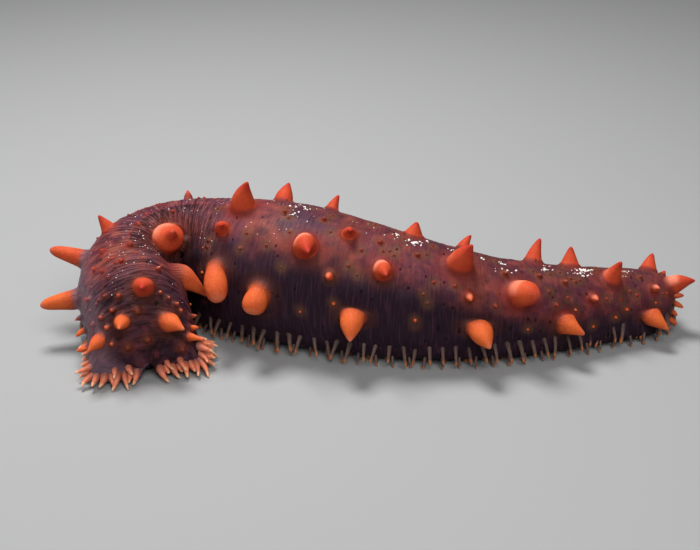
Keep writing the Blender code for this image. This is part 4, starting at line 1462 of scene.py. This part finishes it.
@dataclass
class Margin:
    """Tube feet and fringe along the edge of the sole."""

    body: Body
    seed: int = 77
    level: float = 0.0128
    clearance: float = 0.0036
    lip_level: float = 0.0062
    spacing: float = 0.0061
    fringe_back: float = 0.036
    front_end: float = 0.0006
    crease: tuple[float, float] = (0.047, 0.093)
    arch_x: float = -0.0925
    arch_radius: float = 0.0030
    arch_back: float = -0.036
    setback: float = 900.0
    under_drop: float = 0.0055
    under_clearance: float = 0.0006
    foot: Finger = Finger(0.0106, 0.00100, 0.24, (2.3, 1.55, 1.10, 0.92, 0.82, 0.78, 0.45))
    under_foot: Finger = Finger(0.0066, 0.00080, 0.25, (2.0, 1.30, 1.00, 0.85, 0.80, 0.78, 0.45))
    cone: tuple[float, ...] = (2.3, 1.80, 1.42, 1.16, 0.92, 0.66, 0.34)
    tiers: tuple[Tier, ...] = (
        Tier(0.0000, 0.0029, 0, 0.0058, 0.00112, 0.75, 1.000),
        Tier(0.0024, 0.0062, 0, 0.0040, 0.00100, 0.55, 1.000),
        Tier(0.0000, 0.0023, 1, 0.0066, 0.00118, 0.55, 0.012),
        Tier(0.0024, 0.0025, 1, 0.0060, 0.00112, 0.35, 0.011),
        Tier(0.0050, 0.0028, 1, 0.0053, 0.00105, 0.20, 0.010),
        Tier(0.0078, 0.0040, 1, 0.0044, 0.00095, 0.10, 0.009),
        Tier(0.0012, 0.0062, 1, 0.0066, 0.00110, 0.20, 0.036),
        Tier(0.0000, 0.0034, -1, 0.0052, 0.00115, 0.40, 0.036),
        Tier(0.0030, 0.0044, -1, 0.0046, 0.00108, 0.20, 0.014),
        Tier(0.0066, 0.0068, -1, 0.0040, 0.00095, 0.10, 0.024),
    )

    def rim(self, level: float, spacing: float) -> Iterator[tuple[Array, Array, float, int]]:
        """Places round the margin at an even spacing.

        Args:
            level: Height of the margin.
            spacing: Distance between places.

        Yields:
            The point, its level outward direction, the distance along and the side.
        """
        ends = 0.5 - 0.5 * np.cos(np.linspace(0, math.pi, 500))
        distances = np.clip(ends ** 1.6 * self.body.length, 1e-7, self.body.length - 0.0025)
        path = [(float(s), 1) for s in distances] + [(float(s), -1) for s in distances[::-1]]
        points = np.array([self.body.skin(s, self.body.angle_at(s, level, side)) for s, side in path])
        closed = np.vstack([points, points[:1]])
        run = np.concatenate([[0.0], np.cumsum(np.linalg.norm(np.diff(closed, axis=0), axis=1))])
        count = round(run[-1] / spacing)
        for k in range(count):
            place = (k + 0.5) * run[-1] / count
            here, ahead, behind = (
                np.array([np.interp((place + step) % run[-1], run, closed[:, axis]) for axis in range(3)])
                for step in (0.0, -0.002, 0.002)
            )
            flow = behind - ahead
            outward = np.array([flow[1], -flow[0], 0.0])
            outward /= np.linalg.norm(outward)
            along, side = path[min(int(np.searchsorted(run, place)), len(path) - 1)]
            yield here, outward, along, side

    def in_arch(self, point: Array) -> bool:
        """Whether a point lies at the small arch under the front lip."""
        beside = abs(point[0] + MIDDLE[0] - self.arch_x) < self.arch_radius + 0.0012
        return beside and point[1] + MIDDLE[1] < self.arch_back

    def finger(
        self, paths: "Paths", point: Array, outward: Array, kind: Finger, clearance: float, rng: random.Random
    ) -> None:
        """Add one finger that reaches out and down towards the floor.

        Args:
            paths: The lines, which grow.
            point: Where the finger leaves the skin.
            outward: Its level direction.
            kind: Its sizes.
            clearance: Usual height of its tip over the floor.
            rng: Source of chance.
        """
        length = kind.length * rng.uniform(0.80, 1.14)
        drop = point[2] - clearance * rng.uniform(0.6, 1.2)
        furthest = math.sqrt(max(length ** 2 - drop ** 2, 1e-8))
        reach = min(kind.spread * rng.uniform(0.7, 1.15) * length, furthest)
        sway = np.array([-outward[1], outward[0], 0.0]) * rng.uniform(-0.28, 0.28) * length
        tip = point + outward * reach + sway - np.array([0, 0, drop])
        root = point - outward * 2.4 * kind.radius + np.array([0, 0, 0.8 * kind.radius])
        knee = point + outward * reach * 0.85 + sway * 0.4 - np.array([0, 0, drop * 0.30])
        paths.add_bent(root, knee, tip, kind.radius * rng.uniform(0.85, 1.15), kind.profile)

    def tuft(self, paths: "Paths", point: Array, outward: Array, tier: Tier, rng: random.Random) -> None:
        """Add one cone of the fringe.

        Args:
            paths: The lines, which grow.
            point: Where the cone leaves the skin.
            outward: Its level direction.
            tier: The row that it belongs to.
            rng: Source of chance.
        """
        length = tier.length * rng.choice((0.45, 0.70, 0.95, 1.0, 1.35)) * rng.uniform(0.9, 1.1)
        sway = np.array([-outward[1], outward[0], 0.0]) * rng.uniform(-1, 1) * (0.40 if tier.side else 0.75)
        aim = outward + sway - np.array([0, 0, tier.fall * rng.uniform(0.7, 1.3)])
        tip = point + aim / np.linalg.norm(aim) * length
        tip[2] = max(tip[2], 0.0006)
        root = point - outward * 0.0024 + np.array([0, 0, 0.0006])
        knee = point + outward * length * 0.45
        paths.add_bent(root, knee, tip, tier.radius * rng.uniform(0.85, 1.15), self.cone)

    def on_tier(self, tier: Tier, point: Array, along: float, side: int) -> bool:
        """Whether a place on the rim belongs to a tier of the fringe."""
        if along > tier.until or self.in_arch(point):
            return False
        if tier.side == 0:
            return along < self.front_end
        return along >= self.front_end * (1 + self.setback * tier.rise) and side == tier.side

    def build(self, feet: bpy.types.Material, fringe: bpy.types.Material) -> list[bpy.types.Object]:
        """Grow the feet and the fringe.

        Args:
            feet: Finish of the tube feet.
            fringe: Finish of the fringe.

        Returns:
            The two objects.
        """
        rng = random.Random(self.seed)
        foot_paths = Paths()
        fringe_paths = Paths()
        rows = (
            (self.level, self.spacing, self.foot, self.clearance),
            (self.level - self.under_drop, self.spacing * 1.3, self.under_foot, self.under_clearance),
        )
        for level, spacing, kind, clearance in rows:
            for point, outward, along, side in self.rim(level, spacing):
                hidden = side > 0 and self.crease[0] < along < self.crease[1]
                if not hidden and along > self.fringe_back:
                    self.finger(foot_paths, point, outward, kind, clearance, rng)
        for tier in self.tiers:
            for point, outward, along, side in self.rim(self.lip_level + tier.rise, tier.spacing):
                if self.on_tier(tier, point, along, side):
                    self.tuft(fringe_paths, point, outward, tier, rng)
        return [foot_paths.grow("tube_feet", feet, 8), fringe_paths.grow("mouth_fringe", fringe, 10)]


@dataclass
class Paths:
    """Bent lines, each of which becomes a tapered finger."""

    points: list[Array] = field(default_factory=list)
    edges: list[tuple[int, int]] = field(default_factory=list)
    radii: list[float] = field(default_factory=list)
    reaches: list[float] = field(default_factory=list)
    cells: list[float] = field(default_factory=list)
    fingers: int = 0

    def add_bent(self, root: Array, knee: Array, tip: Array, radius: float, profile: Sequence[float]) -> None:
        """Add a line from root to tip that bends towards its knee.

        Args:
            root: First point, inside the skin.
            knee: Point that the line bends towards.
            tip: Last point.
            radius: Usual radius.
            profile: Shares of that radius from root to tip.
        """
        spots = []
        widths = [radius * share for share in profile]
        for k, width in enumerate(widths):
            t = k / (len(profile) - 1)
            spot = (1 - t) ** 2 * root + 2 * t * (1 - t) * knee + t ** 2 * tip
            spot[2] = max(spot[2], width * 0.6)
            spots.append(spot)
        self.add(spots, widths)

    def add(self, spots: Sequence[Array], widths: Sequence[float]) -> None:
        """Add a line through points, with a radius for each."""
        start = len(self.points)
        last = len(spots) - 1
        self.points += spots
        self.radii += widths
        self.reaches += [k / last for k in range(last + 1)]
        self.cells += [float(self.fingers)] * (last + 1)
        self.edges += [(start + k, start + k + 1) for k in range(last)]
        self.fingers += 1

    def tree(self) -> Growth:
        """The node tree that turns lines into tapered fingers."""
        growth = Growth("grow_fingers", {"Sides": "NodeSocketInt", "Material": "NodeSocketMaterial"})
        radius = growth.attribute("radius_here")
        curve = growth.node("GeometryNodeMeshToCurve", {}, {"Mesh": growth.given("Geometry")})
        sockets = {"Resolution": growth.given("Sides"), "Radius": 1.0}
        circle = growth.node("GeometryNodeCurvePrimitiveCircle", {}, sockets)
        turn = growth.node("GeometryNodeSplineParameter", {}, {}, "Factor")
        sockets = {"Geometry": circle, "Name": "turn", "Value": turn}
        marked = growth.node("GeometryNodeStoreNamedAttribute", {"domain": "POINT"}, sockets)
        sockets = {"Curve": curve, "Profile Curve": marked, "Scale": radius, "Fill Caps": True}
        tube = growth.node("GeometryNodeCurveToMesh", {}, sockets)
        growth.close(growth.node("GeometryNodeSetShadeSmooth", {}, {"Geometry": tube}))
        return growth

    def grow(self, name: str, material: bpy.types.Material, sides: int) -> bpy.types.Object:
        """Turn the lines into one mesh.

        Args:
            name: The object's name.
            material: Its finish.
            sides: Sides of each finger.

        Returns:
            The finished object.
        """
        mesh = bpy.data.meshes.new(name)
        mesh.from_pydata([tuple(point) for point in self.points], self.edges, [])
        write_values(mesh, "radius_here", np.array(self.radii))
        write_values(mesh, "reach", np.array(self.reaches))
        write_values(mesh, "cell", np.array(self.cells))
        thing = self.tree().grow(add_object(name, mesh), {"Sides": sides, "Material": material})
        self.lay_out(thing.data)
        return thing

    def lay_out(self, mesh: bpy.types.Mesh) -> None:
        """Give each finger its own patch of the UV map."""
        count = len(mesh.vertices)
        read = {}
        for label in ("cell", "reach", "turn"):
            read[label] = np.zeros(count, np.float32)
            mesh.attributes[label].data.foreach_get("value", read[label])
        layer = mesh.uv_layers.new(name=UV_NAME)
        for face in mesh.polygons:
            turns = [float(read["turn"][v]) for v in face.vertices]
            wraps = max(turns) - min(turns) > 0.5
            patch = cell(int(round(read["cell"][face.vertices[0]])), self.fingers)
            for loop, vertex, turn in zip(face.loop_indices, face.vertices, turns):
                turn += 1.0 if wraps and turn < 0.5 else 0.0
                layer.data[loop].uv = (
                    patch.left + patch.width * turn,
                    patch.low + patch.height * float(read["reach"][vertex]),
                )


@dataclass
class SoleFeet:
    """Short feet under the sole, with flat ends on the floor."""

    body: Body
    rows: tuple[float, ...] = (-0.62, -0.40, -0.18, 0.18, 0.40, 0.62)
    step: float = 0.0088
    start: float = 0.034
    end_margin: float = 0.012
    root_z: float = 0.0070
    profile: tuple[float, ...] = (1.20, 1.0, 0.9, 1.0, 1.25, 1.25)
    radius: float = 0.0012
    seed: int = 5

    def build(self, material: bpy.types.Material) -> bpy.types.Object:
        """Grow the feet.

        Args:
            material: Their finish.

        Returns:
            The finished object.
        """
        rng = random.Random(self.seed)
        paths = Paths()
        for turn, row in enumerate(self.rows):
            along = self.start + (0.5 * self.step if turn % 2 else 0.0)
            while along < self.body.length - self.end_margin:
                across = (row + rng.uniform(-0.04, 0.04)) * float(self.body.read(along, self.body.half))
                low = self.body.ground(along, across)
                top = low + np.array([0.0, 0.0, self.root_z])
                self.add(paths, top, low)
                along += self.step * rng.uniform(0.9, 1.1)
        return paths.grow("sole_feet", material, 8)

    def add(self, paths: Paths, top: Array, low: Array) -> None:
        """Add one foot that stands on the floor with a flat end."""
        shares = [k / (len(self.profile) - 1) for k in range(len(self.profile))]
        paths.add([(1 - t) * top + t * low for t in shares], [self.radius * share for share in self.profile])


@dataclass
class Tentacles:
    """The ring of mop-ended tentacles round the mouth, in the pit of the sole."""

    body: Body
    seed: int = 20
    radii: tuple[float, float] = (0.0128, 0.0066)
    count: int = 20
    branches: int = 9
    top: float = 0.0112
    neck: float = 0.0042
    stem: float = 0.0010
    twig: float = 0.00042

    def build(self, material: bpy.types.Material) -> bpy.types.Object:
        """Grow the tentacles.

        Args:
            material: Their finish.

        Returns:
            The finished object.
        """
        rng = random.Random(self.seed)
        paths = Paths()
        centre = self.body.ground(MOUTH_ALONG)
        for k in range(self.count):
            turn = 2 * math.pi * k / self.count
            share = 0.90 if k % 2 else 0.58
            x, y = share * self.radii[0] * math.cos(turn), share * self.radii[1] * math.sin(turn)
            spot = centre + np.array([x, y, 0])
            neck = spot + np.array([0, 0, self.neck])
            root = spot + np.array([0, 0, self.top])
            paths.add_bent(root, (root + neck) / 2, neck, self.stem, (1.3, 1.0, 0.9, 1.1))
            for b in range(self.branches):
                bearing = 2 * math.pi * b / self.branches + rng.uniform(-0.3, 0.3)
                out = np.array([math.cos(bearing), math.sin(bearing), 0.0]) * rng.uniform(0.0011, 0.0019)
                low = spot + out + np.array([0, 0, rng.uniform(0.0009, 0.0022)])
                paths.add_bent(neck, neck + out, low, self.twig, (1.2, 1.0, 1.0, 0.7, 0.3))
        return paths.grow("mouth_tentacles", material, 6)


@dataclass
class GrainsAndGlints:
    """Pale grains caught along the crest, and white specks at the bend that are painted glints of the wet
    skin.
    """

    body: Body
    seed: int = 41
    clusters: int = 38
    specks: int = 210
    size: tuple[float, float] = (0.00016, 0.00066)
    speck_size: tuple[float, float] = (0.00011, 0.00032)
    clear: float = 0.0003
    lift: float = 0.0001

    def tree(self) -> Growth:
        """The node tree that sets a squashed grain on every point."""
        inputs = {"Seed": "NodeSocketInt", "Smallest": "NodeSocketFloat", "Largest": "NodeSocketFloat"}
        growth = Growth("scatter_grains", {**inputs, "Material": "NodeSocketMaterial"})
        grain = growth.node("GeometryNodeMeshIcoSphere", {}, {"Radius": 1.0, "Subdivisions": 1})
        sockets = {2: growth.given("Smallest"), 3: growth.given("Largest"), "Seed": growth.given("Seed")}
        size = growth.node("FunctionNodeRandomValue", {"data_type": "FLOAT"}, sockets, 1)
        shape = growth.node("ShaderNodeCombineXYZ", {}, {0: size * 1.2, 1: size, 2: size * 0.6})
        sockets = {0: (-0.4, -0.4, -3.0), 1: (0.4, 0.4, 3.0)}
        spin = growth.node("FunctionNodeRandomValue", {"data_type": "FLOAT_VECTOR"}, sockets, 0)
        sockets = {"Points": growth.given("Geometry"), "Instance": grain, "Rotation": spin, "Scale": shape}
        placed = growth.node("GeometryNodeInstanceOnPoints", {}, sockets)
        growth.close(placed)
        return growth

    def build(
        self,
        material: bpy.types.Material,
        skin: bpy.types.Object,
        papillae: Papillae,
        rows: Sequence[Papilla],
    ) -> list[bpy.types.Object]:
        """Scatter the grains.

        Args:
            material: Their finish.
            skin: The skin that they lie on.
            papillae: Used to keep the papillae clear.
            rows: The listed papillae.

        Returns:
            The grains of the crest and the painted glint specks of the bend.
        """
        rng = random.Random(self.seed)
        surface = BVHTree.FromObject(skin, bpy.context.evaluated_depsgraph_get())
        crest = []
        for _ in range(self.clusters):
            along = rng.uniform(0.130, 0.312)
            angle = rng.gauss(2, 7)
            for _ in range(rng.choice((1, 2, 4, 8, 12, 18))):
                crest.append((along + rng.gauss(0, 0.0022), angle + rng.gauss(0, 2.4)))
        # Painted glints: white specks scattered over the bend.
        bend = [(rng.uniform(0.006, 0.150), rng.gauss(2, 26)) for _ in range(self.specks)]
        pieces = []
        kinds = (("back_grains", crest, self.size), ("bend_glint_specks", bend, self.speck_size))
        for name, places, sizes in kinds:
            points = []
            for place, turn in places:
                if papillae.is_open(rows, place, turn, self.clear):
                    spot = Vector(self.body.skin(place, math.radians(turn)))
                    near, outward, _, _ = surface.find_nearest(spot)
                    points.append(tuple(near + outward * self.lift))
            mesh = bpy.data.meshes.new(name)
            mesh.from_pydata(points, [], [])
            values = {"Seed": self.seed, "Smallest": sizes[0], "Largest": sizes[1], "Material": material}
            pieces.append(self.tree().grow(add_object(name, mesh), values))
        return pieces


@dataclass(frozen=True)
class Studio:
    """Plain floor, soft lights and the camera."""

    lens: float = 60.0
    eye: tuple[float, float, float] = (-0.0097, -0.5004, 0.2962)
    target: tuple[float, float, float] = (-0.0097, 0.0002, 0.0300)
    floor_colour: Colour = (0.275, 0.275, 0.275)
    floor_half: float = 3.0
    air: tuple[float, float, float, float] = (0.95, 0.97, 1.0, 1.0)
    glow: float = 0.12
    lamps: tuple[tuple[Any, ...], ...] = (
        ("key", (-0.18, 0.24, 0.82), 0.27, 10.6, (0.0, 0.0, 0.02)),
        ("fill", (0.14, -0.60, 0.74), 0.50, 5.8, (0.02, 0.0, 0.03)),
        ("left", (-0.75, -0.25, 0.35), 0.40, 1.5, (-0.08, 0.0, 0.03)),
    )

    def build(self) -> None:
        """Make all of it."""
        mesh = bpy.data.meshes.new("floor")
        half = self.floor_half
        rim = [(-half, -half, 0), (half, -half, 0), (half, half, 0), (-half, half, 0)]
        mesh.from_pydata(rim, [], [(0, 1, 2, 3)])
        paint = Paint("pale_floor")
        paint.set(Base_Color=(*self.floor_colour, 1.0), Roughness=0.9, Specular_IOR_Level=0.2)
        mesh.materials.append(paint.material)
        add_object("floor", mesh)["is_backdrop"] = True
        for name, place, size, power, aim in self.lamps:
            lamp = bpy.data.lights.new(name, "AREA")
            lamp.size = size
            lamp.energy = power
            self.hang(name, lamp, place, aim)
        world = bpy.data.worlds.new("studio")
        world.use_nodes = True
        sky = world.node_tree.nodes["Background"].inputs
        sky["Color"].default_value = self.air
        sky["Strength"].default_value = self.glow
        bpy.context.scene.world = world
        bpy.context.scene.view_settings.view_transform = "Standard"
        data = bpy.data.cameras.new("camera")
        data.lens = self.lens
        data.sensor_width = 36.0
        data.clip_start = 0.01
        bpy.context.scene.camera = self.hang("camera", data, self.eye, self.target)

    def hang(self, name: str, data: Any, place: Sequence[float], aim: Sequence[float]) -> bpy.types.Object:
        """Add a light or camera.

        Args:
            name: The object's name.
            data: The light or camera.
            place: Where it hangs.
            aim: The point that it faces.

        Returns:
            The object.
        """
        thing = add_object(name, data)
        thing.location = place
        thing.rotation_euler = (Vector(aim) - Vector(place)).to_track_quat("-Z", "Y").to_euler()
        return thing


def corners(box: tuple[Vector, Vector]) -> list[list[float]]:
    """A box as plain lists of numbers."""
    return [[round(float(value), 6) for value in corner] for corner in box]


def main() -> None:
    """Dress the frame."""
    logging.basicConfig(level=logging.INFO, format="%(name)s: %(message)s")
    solid_box = corners(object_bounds())
    body = Body()
    flesh = FleshFinish().paint()
    feet, fringe, pale = (finish.paint() for finish in FINGER_FINISHES)
    papillae = Papillae(body, flesh)
    rows = papillae.plan()
    skin = Skin(body, flesh).build(rows)
    settle(skin, "skin", FLESH_NODES)
    settle(papillae.build(rows), "papilla")
    for piece, slot in zip(Margin(body).build(feet, fringe), ("tube_foot", "fringe")):
        settle(piece, slot)
    settle(SoleFeet(body).build(feet), "tube_foot")
    settle(Tentacles(body).build(pale), "tentacle", ("tentacles",))
    for piece in GrainsAndGlints(body).build(GrainAndGlintFinish().paint(), skin, papillae, rows):
        settle(piece, "skin")
    Studio().build()
    {"solids": solid_box, "visual": corners(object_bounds())}


if __name__ == "__main__":
    main()
